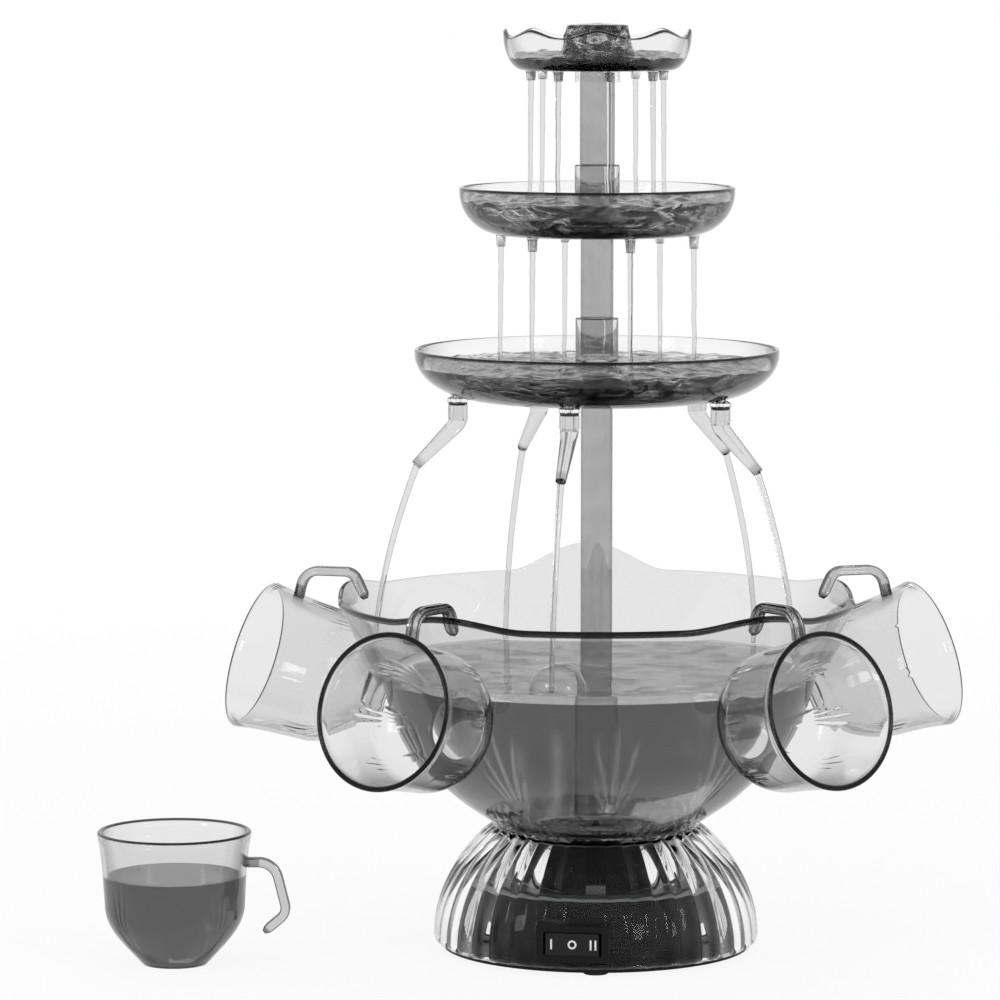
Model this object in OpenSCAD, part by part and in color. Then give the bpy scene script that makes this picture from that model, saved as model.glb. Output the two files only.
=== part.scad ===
// Drinks fountain: a lit pump base, a punch bowl, three trays on a tower of tubes, and five cups.
// Lengths are in millimetres, +Z is up, and the origin is the middle of the underside of the feet.
// The switch faces -Y. A bearing of 0 looks that way, and bearings grow towards +X.

/* [Base] */
// Widest radius of the clear base shell
base_r = 82; // [78:0.5:92]
// Radius of the shell where it meets the bowl
neck_r = 52; // [50:0.5:56]
// Height of the deck that carries the bowl
deck_z = 60.5; // [58:0.5:70]
// Wall of the base shell
shell_wall = 2.5; // [2:0.1:3]
// Number of flutes round the base shell
flute_count = 40; // [30:1:48]
// Depth of one flute
flute_depth = 1.2; // [0.6:0.1:1.6]
// Distance of the pan's wall inside the shell's widest radius
pan_inset = 18; // [16:0.5:20]
// Height of the top of the pan's wall
pan_top_z = 33; // [31:0.5:36]
// Wall of the pan and of the motor housing
pan_wall = 1.6; // [1.2:0.1:2]
// Height of the rubber feet
foot_h = 2; // [1.8:0.1:4]
// Radius of a rubber foot
foot_r = 6; // [5:0.5:7]

/* [Switch] */
// Bearing of the switch
switch_bearing = -8; // [-30:1:30]
// Height of the middle of the switch
switch_z = 17; // [15:0.5:19]
// Width of the switch bezel
bezel_w = 36; // [34:0.5:40]
// Height of the switch bezel
bezel_h = 18; // [16:0.5:20]
// Radius that the rocker's ends swing through
rocker_r = 14.2; // [13:0.1:14.5]
// Height of the rocker
rocker_h = 11; // [9:0.5:12]
// Radius of the rocker's pin
switch_pin_r = 1.2; // [1:0.1:1.5]

/* [Motor] */
// Radius of the motor
motor_r = 17; // [15:0.5:19]
// Length of the motor
motor_len = 32; // [28:0.5:33]
// Radius of the motor's shaft
shaft_r = 2; // [1.5:0.1:2.5]
// Radius of the housing's raised middle
hat_r = 30; // [28:0.5:32]
// Radius of the drive magnet
magnet_r = 22; // [18:0.5:24]
// Thickness of the drive magnet
magnet_h = 5; // [4:0.5:5.5]
// Number of lights
led_count = 10; // [6:1:14]

/* [Bowl] */
// Radius of the bowl's rim in its dips
rim_r = 131; // [122:1:140]
// Radius of the bowl's round lower part
bowl_curve_r = 112; // [106:1:118]
// Lean of the bowl's upper wall from the vertical, in degrees
bowl_lean = 26; // [22:1:28]
// Distance of the bowl's flat foot inside the neck of the base
neck_room = 7; // [5.5:0.5:8]
// Wall of the bowl
bowl_wall = 2.5; // [2:0.1:3]
// Height of a hump that carries a cup, above the rim's dips
hump_h = 4.5; // [3:0.5:8]
// Height of the rear hump above the rim's dips
rear_hump_h = 13; // [9:0.5:16]
// Bearing of the rim's front dip
rim_bearing = 2; // [-10:0.5:10]

/* [Pump] */
// Radius of the pump cover
pump_r = 24; // [22:0.5:28]
// Height of the pump cover without its socket
pump_h = 23; // [21:0.5:28]
// Radius of the impeller
impeller_r = 16; // [13:0.5:18]
// Radius of the spindle pin
spindle_r = 1.5; // [1.2:0.1:2]

/* [Tower] */
// Outer radius of the lower tube
lower_tube_r = 8; // [7.5:0.25:9]
// Outer radius of the middle tube
mid_tube_r = 8.25; // [7.5:0.25:9]
// Outer radius of the upper tube
upper_tube_r = 8.75; // [8:0.25:9.25]
// Wall of the tubes
tube_wall = 2; // [1.5:0.25:2.5]
// Wall of the trays
tray_wall = 2.2; // [1.8:0.1:2.6]
// Rise from the lower tray to the middle tray
mid_rise = 82.5; // [76:0.5:95]
// Rise from the middle tray to the crown
crown_rise = 82; // [76:0.5:95]
// Rim radius of the lower tray
lower_tray_r = 91.5; // [88:0.5:105]
// Height of the lower tray's wall
lower_tray_h = 25.5; // [22:0.5:32]
// Rim radius of the middle tray
mid_tray_r = 69; // [64:0.5:80]
// Height of the middle tray's wall
mid_tray_h = 24; // [20:0.5:30]
// Height of the underside of the crown
crown_z = 443.5; // [430:0.5:460]
// Rim radius of the crown
crown_r = 47; // [44:0.5:55]
// Height of the crown's wall at the tips of its scallops
crown_h = 20.5; // [18:0.5:26]
// Depth of the scallops
scallop_depth = 4; // [2:0.5:5]
// Number of scallops and of nozzles on the crown
scallop_count = 8; // [6:1:10]
// Number of nozzles under the middle tray
mid_nozzle_count = 6; // [4:1:8]
// Radius of the flow cap
cap_r = 15.5; // [13:0.5:17]

/* [Spouts] */
// Distance of the spouts inside the lower tray's rim
spout_inset = 21.5; // [19:0.5:26]
// Length of a spout's slanted nozzle
spout_len = 30; // [24:1:36]
// Slant of the nozzle from the vertical, in degrees
spout_slant = 45; // [35:1:55]
// Radius of a spout's sleeve
spout_r = 5; // [4.6:0.1:5.5]

/* [Cups] */
// Radius of a cup's mouth
cup_mouth_r = 38.5; // [37:0.5:41]
// Height of a cup
cup_h = 67; // [64:0.5:72]
// Radius of a cup's foot
cup_foot_r = 16.2; // [15:0.2:18]
// Wall of a cup
cup_wall = 2; // [1.6:0.1:2.4]
// Distance of the handle's outside from the cup's axis
handle_reach = 58; // [56:0.5:61]
// Thickness of the handle
handle_t = 5.5; // [4.5:0.1:6]
// Width of the handle
handle_w = 7; // [6:0.5:9]
// Tilt of a hanging cup's axis above the horizontal, in degrees
cup_tilt = 14; // [10:1:18]
// Distance of the standing cup's axis to the left of the middle
stand_left = 210; // [190:1:260]
// Distance of the standing cup's axis in front of the middle
stand_front = 45; // [0:1:90]

/* [Hidden] */
$fn = 96;

// Clearances, and the overrun that serves all cuts
fit = 0.05;
gap = 0.3;
rest_gap = 0.4;
overrun = 1;

// Base levels and radii
pan_r = base_r - pan_inset;
pan_floor_z = foot_h + pan_wall;
shell_bottom_z = pan_floor_z;
shell_edge_r = 4;
shell_belly_z = shell_bottom_z + shell_edge_r;
dome_power_share = 0.87;
dome_steps = 7;
edge_steps = 3;
points_per_flute = 3;
bowl_foot_r = neck_r - neck_room;
deck_ledge = 12;
deck_bore_r = neck_r - deck_ledge;
gasket_h = 2;
gasket_in_r = deck_bore_r + rest_gap;
gasket_w = 4;
pan_rim_r = base_r - shell_edge_r - gap;
foot_outset = 4;
foot_place_r = pan_r + foot_outset;
foot_stem_r = 2;
foot_stem_h = 3;
foot_count = 4;
screw_r = 1.5;
screw_head_r = 3;
screw_head_h = 1.5;
screw_len = 12;
boss_r = 4;
boss_inset = 10;
boss_place_r = pan_r - boss_inset;
boss_count = 4;
boss_turn = 45;

// Motor levels
flange_top_z = pan_top_z + pan_wall;
bowl_foot_z = deck_z + gasket_h;
hat_gap = 1;
hat_top_z = bowl_foot_z - hat_gap;
web_h = 3;
magnet_air = 2;
magnet_top_z = hat_top_z - pan_wall - magnet_air;
magnet_z = magnet_top_z - magnet_h;
motor_head_room = 1.5;
motor_screw_r = 1.3;
motor_screw_head_r = 2.6;
motor_screw_head_h = 1.8;
motor_screw_len = 6;
motor_screw_place_r = 10;
motor_screw_count = 2;
web_top_z = magnet_z - motor_head_room - motor_screw_head_h;
web_z = web_top_z - web_h;
motor_z = web_z - motor_len;
bush_r = 5;
bush_rise = 2;
shaft_in = 26;
board_h = 1.6;
board_w = 14;
board_mid_r = (hat_r + pan_r) / 2;
board_in_r = board_mid_r - board_w / 2;
board_out_r = board_mid_r + board_w / 2;
led_r = 2.5;
led_h = 3;

// Switch places, measured outwards from the middle of the base
stand_out = 0.5;
bezel_reach = 4;
rocker_rise = 1;
rocker_skin = 4;
pin_inset = 1;
bezel_front = base_r + stand_out;
bezel_back = pan_r - bezel_reach;
rocker_front = bezel_front + rocker_rise;
rocker_pivot = rocker_front - switch_pin_r - rocker_skin;
rocker_back = rocker_pivot - switch_pin_r - rocker_skin;
cavity_back = rocker_pivot - rocker_r;
cavity_half_w = rocker_r + gap;
cavity_half_h = rocker_h / 2 + gap;
pin_low_z = switch_z - bezel_h / 2 + pin_inset;
pin_high_z = switch_z + bezel_h / 2 - pin_inset;
inlet_r = 6;
inlet_nut_r = 8;
inlet_nut_h = 3;
inlet_nut_front = sqrt(pow(pan_r - pan_wall, 2) - pow(inlet_nut_r, 2)) - gap;
inlet_bore_r = 3;
inlet_depth = 12;
inlet_z = 15;
inlet_front = base_r + stand_out;

// Bowl section: a round part centred on the axis, then a straight wall that leans outwards
bowl_centre_z = bowl_foot_z + sqrt(pow(bowl_curve_r, 2) - pow(bowl_foot_r, 2));
bowl_floor_z = bowl_foot_z + bowl_wall;
bowl_inner_r = bowl_curve_r - bowl_wall;
bowl_floor_r = sqrt(pow(bowl_inner_r, 2) - pow(bowl_centre_z - bowl_floor_z, 2));
lean_r = bowl_curve_r * cos(bowl_lean);
lean_z = bowl_centre_z - bowl_curve_r * sin(bowl_lean);
rim_z = lean_z + (rim_r - lean_r) / tan(bowl_lean);
peak_z = rim_z + hump_h;
peak_r = rim_r + hump_h * tan(bowl_lean);
rim_level_w = bowl_wall / cos(bowl_lean);
bowl_steps = 10;
hump_count = 5;
hump_turn = 360 / hump_count;
rear_hump = floor(hump_count / 2);
hump_steps = 10;
hump_flat_share = 0.5;
hump_over = 0.15;
crest_rise = rear_hump_h + hump_over;
crest_z = rim_z + crest_rise;
crest_r = rim_r + crest_rise * tan(bowl_lean);
dip_end = crest_r * sin(hump_turn / 2) + overrun;
spindle_boss_r = 4.5;
spindle_boss_h = 3;
spindle_skin = 1;
neck_gap = 0.8;
neck_in_r = neck_r - shell_wall;
base_top_z = bowl_centre_z - sqrt(pow(bowl_curve_r, 2) - pow(neck_in_r, 2)) - neck_gap;

// Pump levels
impeller_z = bowl_floor_z + spindle_boss_h + gap;
driven_h = 4;
driven_in_r = 6;
impeller_hub_r = 5;
impeller_disc_h = 2.5;
impeller_disc_z = impeller_z + driven_h;
vane_h = 6;
vane_t = 2;
vane_count = 6;
spindle_rise = 1;
spindle_top_z = impeller_disc_z + impeller_disc_h + vane_h + spindle_rise;
pump_wall = 2.2;
pump_roof_z = bowl_floor_z + pump_h;
pump_slot_w = 6;
pump_slot_h = 4;
pump_slot_count = 6;

// Tower levels: each tube stands on a step inside the socket below it
mid_tray_z = crown_z - crown_rise;
lower_tray_z = mid_tray_z - mid_rise;
socket_wall = 2.5;
socket_len = 16;
step_h = 3;
lower_tube_z = pump_roof_z + step_h;
lower_step_z = lower_tray_z + socket_len + step_h;
mid_tube_z = lower_step_z + step_h;
lower_collar_z = mid_tube_z + socket_len + step_h;
mid_step_z = mid_tray_z + socket_len - step_h;
upper_tube_z = mid_step_z + step_h;
mid_collar_z = upper_tube_z + socket_len + step_h;
crown_socket_z = crown_z - step_h - step_h;
crown_step_z = crown_z + step_h;
crown_hub_z = crown_step_z + step_h + step_h;
lower_wall_run = 35.5;
lower_flat_r = lower_tray_r - lower_wall_run;
mid_wall_run = 22;
mid_flat_r = mid_tray_r - mid_wall_run;
crown_wall_run = 10;
crown_flat_r = crown_r - crown_wall_run;
tray_steps = 8;
nozzle_r = 2.5;
nozzle_bore_r = 1.5;
mid_nozzle_h = 6.5;
mid_nozzle_inset = 20;
mid_nozzle_place_r = mid_tray_r - mid_nozzle_inset;
mid_nozzle_bearing = 19.5;
crown_nozzle_h = 5;
crown_nozzle_inset = 13.5;
crown_nozzle_place_r = crown_r - crown_nozzle_inset;
crown_nozzle_bearing = 10;
tip_over = 0.8;
cap_h = 7;
cap_lift = 7.5;
cap_stem_t = 1.6;
cap_stem_len = 8;

// Spout levels, from the boss under the lower tray down to the elbow
spout_count = 5;
spout_place_r = lower_tray_r - spout_inset;
spout_turn = 360 / spout_count;
spout_bearing = -11;
spout_boss_drop = 1;
spout_boss_z = lower_tray_z - spout_boss_drop;
spout_boss_r = spout_r + gap;
seal_h = 1;
seal_r = spout_r - gap;
spigot_r = 3.2;
spigot_bore_r = 1.8;
spigot_len = 9;
bead_r = spigot_r + gap;
bead_h = 1;
bead_lift = 1.2;
spigot_end_z = spout_boss_z - spigot_len;
bead_z = spigot_end_z + bead_lift;
sleeve_top_z = spout_boss_z - seal_h - gap;
sleeve_h = spigot_len - seal_h;
elbow_drop = 1;
elbow_z = sleeve_top_z - sleeve_h - elbow_drop;
elbow_r = spout_r + gap;
spout_root_r = spout_r - gap;
spout_tip_r = 2.6;
spout_bore_r = 1.6;

// Cup section: a round lower part, a nearly straight wall and a flared mouth
cup_belly_r = 35;
cup_belly_z = 31;
cup_lip_z = 52;
cup_lip_r = 36;
cup_floor = 3;
cup_steps = 8;
cup_taper_share = 0.6;
handle_top_z = 51;
handle_bend_r = 10;
handle_turn_r = 7;
strap_lean = 14;
handle_hook = 13.5;
handle_end_x = handle_reach - handle_hook;
bend_steps = 6;
seat_gap = 1;
hang_count = 4;

// Wall line of the bowl in a hanging cup's own frame, from its foot's edge
wall_turn = bowl_lean + cup_tilt;
wall_out = cup_foot_r * sin(wall_turn) + rest_gap;
wall_in = wall_out + bowl_wall;
leg_mid = wall_in + rest_gap + handle_t / 2;
handle_mid_x = handle_reach - handle_t / 2;
handle_end_z = (handle_end_x * sin(wall_turn) - leg_mid) / cos(wall_turn);
seat_x = handle_reach - handle_t - seat_gap;
seat_z = (seat_x * sin(wall_turn) - wall_in) / cos(wall_turn);
hang_r = peak_r - rim_level_w - seat_z * cos(cup_tilt) + seat_x * sin(cup_tilt);
hang_z = peak_z - seat_z * sin(cup_tilt) - seat_x * cos(cup_tilt);

// Shapes that repeat

// A point on a circle, at an angle from its own first axis
function on_circle(r, a) = [r * cos(a), r * sin(a)];

// Evenly spaced numbers from one value to another
function spread(from, to, steps) = [for (i = [0 : steps]) from + (to - from) * i / steps];

// Moves its children out from the middle, along a bearing
module at_bearing(bearing, r = 0) {
    rotate([0, 0, bearing - 90])
        translate([r, 0, 0])
            children();
}

// Copies its children evenly round the middle
module around(count, first, r) {
    for (i = [0 : count - 1])
        at_bearing(first + 360 * i / count, r)
            children();
}

// A plain ring between two heights
module ring(out_r, in_r, z_low, z_high) {
    translate([0, 0, z_low])
        difference() {
            cylinder(r = out_r, h = z_high - z_low);
            translate([0, 0, -overrun])
                cylinder(r = in_r, h = z_high - z_low + 2 * overrun);
        }
}

// A plain rod between two heights
module rod(r, z_low, z_high) {
    translate([0, 0, z_low])
        cylinder(r = r, h = z_high - z_low);
}

// A box that is centred on X and Y, from its underside up
module box_up(w, d, z_low, z_high) {
    translate([-w / 2, -d / 2, z_low])
        cube([w, d, z_high - z_low]);
}

// Base

function dome_r(share, foot, neck) = neck + (foot - neck) * pow(1 - share * share, dome_power_share);

function dome_points(foot, neck, top, weight) = [
    for (k = [0 : dome_steps - 1])
        let (share = sin(90 * k / dome_steps))
        [dome_r(share, foot, neck), shell_belly_z + (top - shell_belly_z) * share, weight]
];

inner_foot_r = base_r - shell_wall - flute_depth;
inner_neck_r = neck_r - shell_wall - flute_depth;

shell_edge = [
    for (a = spread(-90, -90 / edge_steps, edge_steps - 1))
        [base_r - shell_edge_r + shell_edge_r * cos(a), shell_belly_z + shell_edge_r * sin(a), 1]
];
shell_outside = dome_points(base_r, neck_r, base_top_z, 1);
shell_inside = dome_points(inner_foot_r, inner_neck_r, deck_z - shell_wall, 0);
shell_loop = concat(
    shell_edge,
    shell_outside,
    [
        [neck_r, base_top_z, 0],
        [neck_in_r, base_top_z, 0],
        [neck_in_r, deck_z, 0],
        [deck_bore_r, deck_z, 0],
        [deck_bore_r, deck_z - shell_wall, 0],
        [inner_neck_r, deck_z - shell_wall, 0]
    ],
    [for (k = [dome_steps - 1 : -1 : 0]) shell_inside[k]],
    [[inner_foot_r, shell_bottom_z, 0]]
);

function flute_cut(a) = flute_depth * (1 - abs(cos(a * flute_count / 2)));

// The fluted dome, as one closed skin of rings
module fluted_dome() {
    turns = flute_count * points_per_flute;
    rows = len(shell_loop);
    points = [
        for (t = [0 : turns - 1], p = shell_loop)
            let (a = 360 * t / turns, r = p[0] - p[2] * flute_cut(a))
            [r * cos(a), r * sin(a), p[1]]
    ];
    faces = [
        for (t = [0 : turns - 1], i = [0 : rows - 1])
            let (u = (t + 1) % turns, j = (i + 1) % rows)
            each [
                [t * rows + i, t * rows + j, u * rows + i],
                [u * rows + i, t * rows + j, u * rows + j]
            ]
    ];
    polyhedron(points, faces);
}

module switch_window(room) {
    at_bearing(switch_bearing)
        translate([bezel_back - overrun, -bezel_w / 2 - room, switch_z - bezel_h / 2 - room])
            cube([base_r, bezel_w + 2 * room, bezel_h + 2 * room]);
}

module inlet_window(room) {
    at_bearing(180)
        translate([bezel_back - overrun, 0, inlet_z])
            rotate([0, 90, 0])
                cylinder(r = inlet_r + room, h = base_r);
}

module base_shell() {
    color([0.86, 0.87, 0.88, 0.5])
        difference() {
            fluted_dome();
            switch_window(gap);
            inlet_window(gap);
        }
}

module base_pan() {
    color([0.08, 0.08, 0.08])
        difference() {
            union() {
                rod(pan_rim_r, foot_h, pan_floor_z);
                ring(pan_r, pan_r - pan_wall, foot_h, pan_top_z);
            }
            switch_window(fit);
            inlet_window(fit);
            around(foot_count, 0, foot_place_r)
                rod(foot_stem_r + fit, 0, pan_floor_z + overrun);
            around(boss_count, boss_turn, boss_place_r)
                rod(screw_r + fit, 0, pan_floor_z + overrun);
        }
}

module rubber_feet() {
    color([0.12, 0.12, 0.12])
        around(foot_count, 0, foot_place_r) {
            rod(foot_r, 0, foot_h);
            rod(foot_stem_r, 0, foot_h + foot_stem_h);
        }
}

module base_screws() {
    color([0.7, 0.7, 0.72])
        around(boss_count, boss_turn, boss_place_r) {
            rod(screw_head_r, foot_h - screw_head_h, foot_h);
            rod(screw_r, foot_h - screw_head_h, foot_h + screw_len);
        }
}

module motor_housing() {
    color([0.1, 0.1, 0.1])
        difference() {
            union() {
                rod(pan_r, pan_top_z, flange_top_z);
                rod(hat_r, pan_top_z, hat_top_z);
                around(boss_count, boss_turn, boss_place_r)
                    rod(boss_r, pan_floor_z, pan_top_z + pan_wall / 2);
            }
            rod(hat_r - pan_wall, pan_top_z - overrun, web_z);
            rod(hat_r - pan_wall, web_top_z, hat_top_z - pan_wall);
            rod(bush_r + fit, web_z - overrun, web_top_z + overrun);
            around(motor_screw_count, 0, motor_screw_place_r)
                rod(motor_screw_r + fit, web_z - overrun, web_top_z + overrun);
            around(boss_count, boss_turn, boss_place_r)
                rod(screw_r + fit, pan_floor_z - overrun, foot_h + screw_len + overrun);
        }
}

module motor_can() {
    color([0.6, 0.6, 0.62])
        difference() {
            rod(motor_r, motor_z, web_z);
            rod(shaft_r + fit, web_z - shaft_in - overrun, web_z + overrun);
            around(motor_screw_count, 0, motor_screw_place_r)
                rod(motor_screw_r + fit, web_top_z - motor_screw_len - overrun, web_z + overrun);
        }
}

module motor_bush() {
    color([0.75, 0.6, 0.25])
        ring(bush_r, shaft_r + fit, web_z, web_top_z + bush_rise);
}

module motor_screws() {
    color([0.7, 0.7, 0.72])
        around(motor_screw_count, 0, motor_screw_place_r) {
            rod(motor_screw_head_r, web_top_z, web_top_z + motor_screw_head_h);
            rod(motor_screw_r, web_top_z - motor_screw_len, web_top_z + motor_screw_head_h);
        }
}

module light_board() {
    color([0.1, 0.3, 0.15])
        ring(board_out_r, board_in_r, flange_top_z, flange_top_z + board_h);
}

module lights() {
    color([0.95, 0.95, 0.95])
        around(led_count, 0, board_mid_r) {
            rod(led_r, flange_top_z + board_h, flange_top_z + board_h + led_h);
            translate([0, 0, flange_top_z + board_h + led_h])
                sphere(r = led_r);
        }
}

module power_inlet() {
    color([0.08, 0.08, 0.08])
        at_bearing(180)
            translate([0, 0, inlet_z])
                rotate([0, 90, 0])
                    difference() {
                        union() {
                            rod(inlet_r, bezel_back, inlet_front);
                            rod(inlet_nut_r, inlet_nut_front - inlet_nut_h, inlet_nut_front);
                        }
                        rod(inlet_bore_r, inlet_front - inlet_depth, inlet_front + overrun);
                    }
}

module switch_bezel() {
    color([0.08, 0.08, 0.08])
        at_bearing(switch_bearing)
            difference() {
                translate([bezel_back, -bezel_w / 2, switch_z - bezel_h / 2])
                    cube([bezel_front - bezel_back, bezel_w, bezel_h]);
                translate([cavity_back, -cavity_half_w, switch_z - cavity_half_h])
                    cube([bezel_front - cavity_back + overrun, 2 * cavity_half_w, 2 * cavity_half_h]);
                translate([rocker_pivot, 0, 0])
                    rod(switch_pin_r + fit, pin_low_z, pin_high_z);
            }
}

module switch_pin() {
    color([0.7, 0.7, 0.72])
        at_bearing(switch_bearing, rocker_pivot)
            rod(switch_pin_r, pin_low_z, pin_high_z);
}

module switch_rocker() {
    color([0.05, 0.05, 0.05])
        at_bearing(switch_bearing)
            difference() {
                intersection() {
                    translate([rocker_pivot, 0, 0])
                        rod(rocker_r, switch_z - rocker_h / 2, switch_z + rocker_h / 2);
                    translate([rocker_back, -rocker_r, 0])
                        cube([rocker_front - rocker_back, 2 * rocker_r, deck_z]);
                }
                translate([rocker_pivot, 0, 0])
                    rod(switch_pin_r + fit, 0, deck_z);
            }
}

module bowl_gasket() {
    color([0.2, 0.2, 0.2])
        ring(gasket_in_r + gasket_w, gasket_in_r, deck_z, bowl_foot_z);
}

module motor_shaft() {
    color([0.75, 0.75, 0.77])
        rod(shaft_r, web_z - shaft_in, magnet_top_z);
}

module drive_magnet() {
    color([0.25, 0.25, 0.27])
        ring(magnet_r, shaft_r + fit, magnet_z, magnet_top_z);
}

// Bowl

function bowl_arc(r, from_r) = [
    for (a = spread(asin(from_r / r), 90 - bowl_lean, bowl_steps))
        [r * sin(a), bowl_centre_z - r * cos(a)]
];

function hump_rise(hump) = hump % hump_count == rear_hump ? rear_hump_h : hump_h;

// One side of a dip: level at first, then a smooth rise to the top of the next hump, and past it
function dip_side(rise) =
    let (reach = (rim_r + rise * tan(bowl_lean)) * sin(hump_turn / 2))
    concat(
        [
            for (share = spread(0, 1, hump_steps))
                let (x = reach * (hump_flat_share + (1 - hump_flat_share) * share))
                [x, rim_z + rise * (1 - cos(180 * share)) / 2]
        ],
        [[dip_end, rim_z + rise], [dip_end, crest_z + overrun]]
    );

// One dip of the rim, as a bar that lies along a bearing, between the humps before and after it
module rim_dip(rise_before, rise_after) {
    before = dip_side(rise_before);
    last = len(before) - 1;
    outline = concat(dip_side(rise_after), [for (i = [last : -1 : 0]) [-before[i][0], before[i][1]]]);
    translate([rim_r / 2, 0, 0])
        rotate([90, 0, 90])
            linear_extrude(height = rim_r)
                polygon(outline);
}

module bowl() {
    outside = bowl_arc(bowl_curve_r, bowl_foot_r);
    inside = bowl_arc(bowl_inner_r, bowl_floor_r);
    section = concat(
        [[0, bowl_foot_z]],
        outside,
        [[crest_r, crest_z], [crest_r - rim_level_w, crest_z]],
        [for (i = [bowl_steps : -1 : 0]) inside[i]],
        [[0, bowl_floor_z]]
    );
    color([0.82, 0.84, 0.86, 0.5])
        difference() {
            union() {
                rotate_extrude()
                    polygon(section);
                rod(spindle_boss_r, bowl_foot_z + spindle_skin, bowl_floor_z + spindle_boss_h);
            }
            for (i = [0 : hump_count - 1])
                at_bearing(rim_bearing + hump_turn * i)
                    rim_dip(hump_rise(i + hump_count - 1), hump_rise(i));
            rod(spindle_r + fit, bowl_foot_z + spindle_skin, bowl_floor_z + spindle_boss_h + overrun);
        }
}

module spindle_pin() {
    color([0.75, 0.75, 0.77])
        rod(spindle_r, bowl_foot_z + spindle_skin, spindle_top_z);
}

module impeller() {
    color([0.9, 0.9, 0.9])
        difference() {
            union() {
                rod(impeller_hub_r, impeller_z, impeller_disc_z + impeller_disc_h + vane_h);
                rod(impeller_r, impeller_disc_z, impeller_disc_z + impeller_disc_h);
                intersection() {
                    rod(impeller_r, impeller_disc_z, impeller_disc_z + impeller_disc_h + vane_h);
                    around(vane_count, 0, 0)
                        translate([0, -vane_t / 2, impeller_disc_z + impeller_disc_h / 2])
                            cube([impeller_r + overrun, vane_t, impeller_disc_h / 2 + vane_h]);
                }
            }
            rod(spindle_r + fit, impeller_z - overrun, spindle_top_z + overrun);
        }
}

module driven_magnet() {
    color([0.25, 0.25, 0.27])
        ring(impeller_r, driven_in_r, impeller_z, impeller_disc_z);
}

// Tower

module pump_cover() {
    color([0.85, 0.86, 0.88, 0.5])
        difference() {
            union() {
                rod(pump_r, bowl_floor_z, pump_roof_z);
                rod(lower_tube_r + socket_wall, pump_roof_z - overrun, lower_tube_z + socket_len);
            }
            rod(pump_r - pump_wall, bowl_floor_z - overrun, pump_roof_z - pump_wall);
            rod(lower_tube_r - tube_wall, bowl_floor_z, lower_tube_z + overrun);
            rod(lower_tube_r + fit, lower_tube_z, lower_tube_z + socket_len + overrun);
            around(pump_slot_count, 0, pump_r)
                box_up(pump_r / 2, pump_slot_w, bowl_floor_z - overrun, bowl_floor_z + pump_slot_h);
        }
}

module tube(r, z_low, z_high) {
    color([0.85, 0.86, 0.88, 0.5])
        ring(r, r - tube_wall, z_low, z_high);
}

module lower_tube() {
    tube(lower_tube_r, lower_tube_z, lower_step_z);
}

module middle_tube() {
    tube(mid_tube_r, mid_tube_z, mid_step_z);
}

module upper_tube() {
    tube(upper_tube_r, upper_tube_z, crown_step_z);
}

// A tray's round wall, from its flat underside to its rim
function tray_curve(flat_r, r, h, z) = [
    for (a = spread(0, 90, tray_steps))
        [flat_r + (r - flat_r) * sin(a), z + h * (1 - cos(a))]
];

module tray_dish(flat_r, r, h, z) {
    outside = tray_curve(flat_r, r, h, z);
    inside = tray_curve(flat_r - tray_wall / 2, r - tray_wall, h, z + tray_wall);
    rotate_extrude()
        polygon(concat(
            [[0, z]],
            outside,
            [[r, z + h + tray_wall]],
            [for (i = [tray_steps : -1 : 0]) inside[i]],
            [[0, z + tray_wall]]
        ));
}

// Clears a hub: a socket from below, a step with a narrower bore, and a socket from above
module hub_bores(low_z, low_r, step_z, high_r, high_z) {
    rod(low_r + fit, low_z - overrun, step_z);
    rod(min(low_r, high_r) - tube_wall, step_z - overrun, step_z + step_h + overrun);
    rod(high_r + fit, step_z + step_h, high_z + overrun);
}

module lower_tray() {
    color([0.85, 0.86, 0.88, 0.5])
        difference() {
            union() {
                tray_dish(lower_flat_r, lower_tray_r, lower_tray_h - tray_wall, lower_tray_z);
                rod(mid_tube_r + socket_wall, lower_tray_z, lower_collar_z);
                around(spout_count, spout_bearing, spout_place_r) {
                    rod(spout_boss_r, spout_boss_z, lower_tray_z + 2 * tray_wall);
                    rod(spigot_r, spigot_end_z, lower_tray_z);
                    rod(bead_r, bead_z, bead_z + bead_h);
                }
            }
            hub_bores(lower_tray_z, lower_tube_r, lower_step_z, mid_tube_r, lower_collar_z);
            around(spout_count, spout_bearing, spout_place_r)
                rod(spigot_bore_r, spigot_end_z - overrun, lower_tray_z + lower_tray_h);
        }
}

module spout_seals() {
    color([0.25, 0.25, 0.25])
        around(spout_count, spout_bearing, spout_place_r)
            ring(seal_r, spigot_r + fit, spout_boss_z - seal_h, spout_boss_z);
}

// A spout: a sleeve that turns on its spigot, an elbow, and a slanted nozzle that points outwards
module spout(number) {
    groove_z = bead_z - gap;
    color([0.85, 0.86, 0.88, 0.5])
        at_bearing(spout_bearing + spout_turn * (number - 1), spout_place_r)
            difference() {
                union() {
                    rod(spout_r, elbow_z, sleeve_top_z);
                    translate([0, 0, elbow_z])
                        sphere(r = elbow_r);
                    translate([0, 0, elbow_z])
                        rotate([0, 180 - spout_slant, 0])
                            cylinder(r1 = spout_root_r, r2 = spout_tip_r, h = spout_len);
                }
                rod(spigot_r + fit, sleeve_top_z - sleeve_h, sleeve_top_z + overrun);
                rod(bead_r + gap / 2, groove_z, groove_z + bead_h + 2 * gap);
                rod(spigot_bore_r, elbow_z, sleeve_top_z);
                translate([0, 0, elbow_z])
                    rotate([0, 180 - spout_slant, 0])
                        rod(spout_bore_r, 0, spout_len + overrun);
            }
}

// One drip nozzle under a tray, and its bore
module nozzle(h, z) {
    rod(nozzle_r, z - h, z + tray_wall / 2);
}

module nozzle_bore(h, z) {
    rod(nozzle_bore_r, z - h - overrun, z + h);
}

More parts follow.
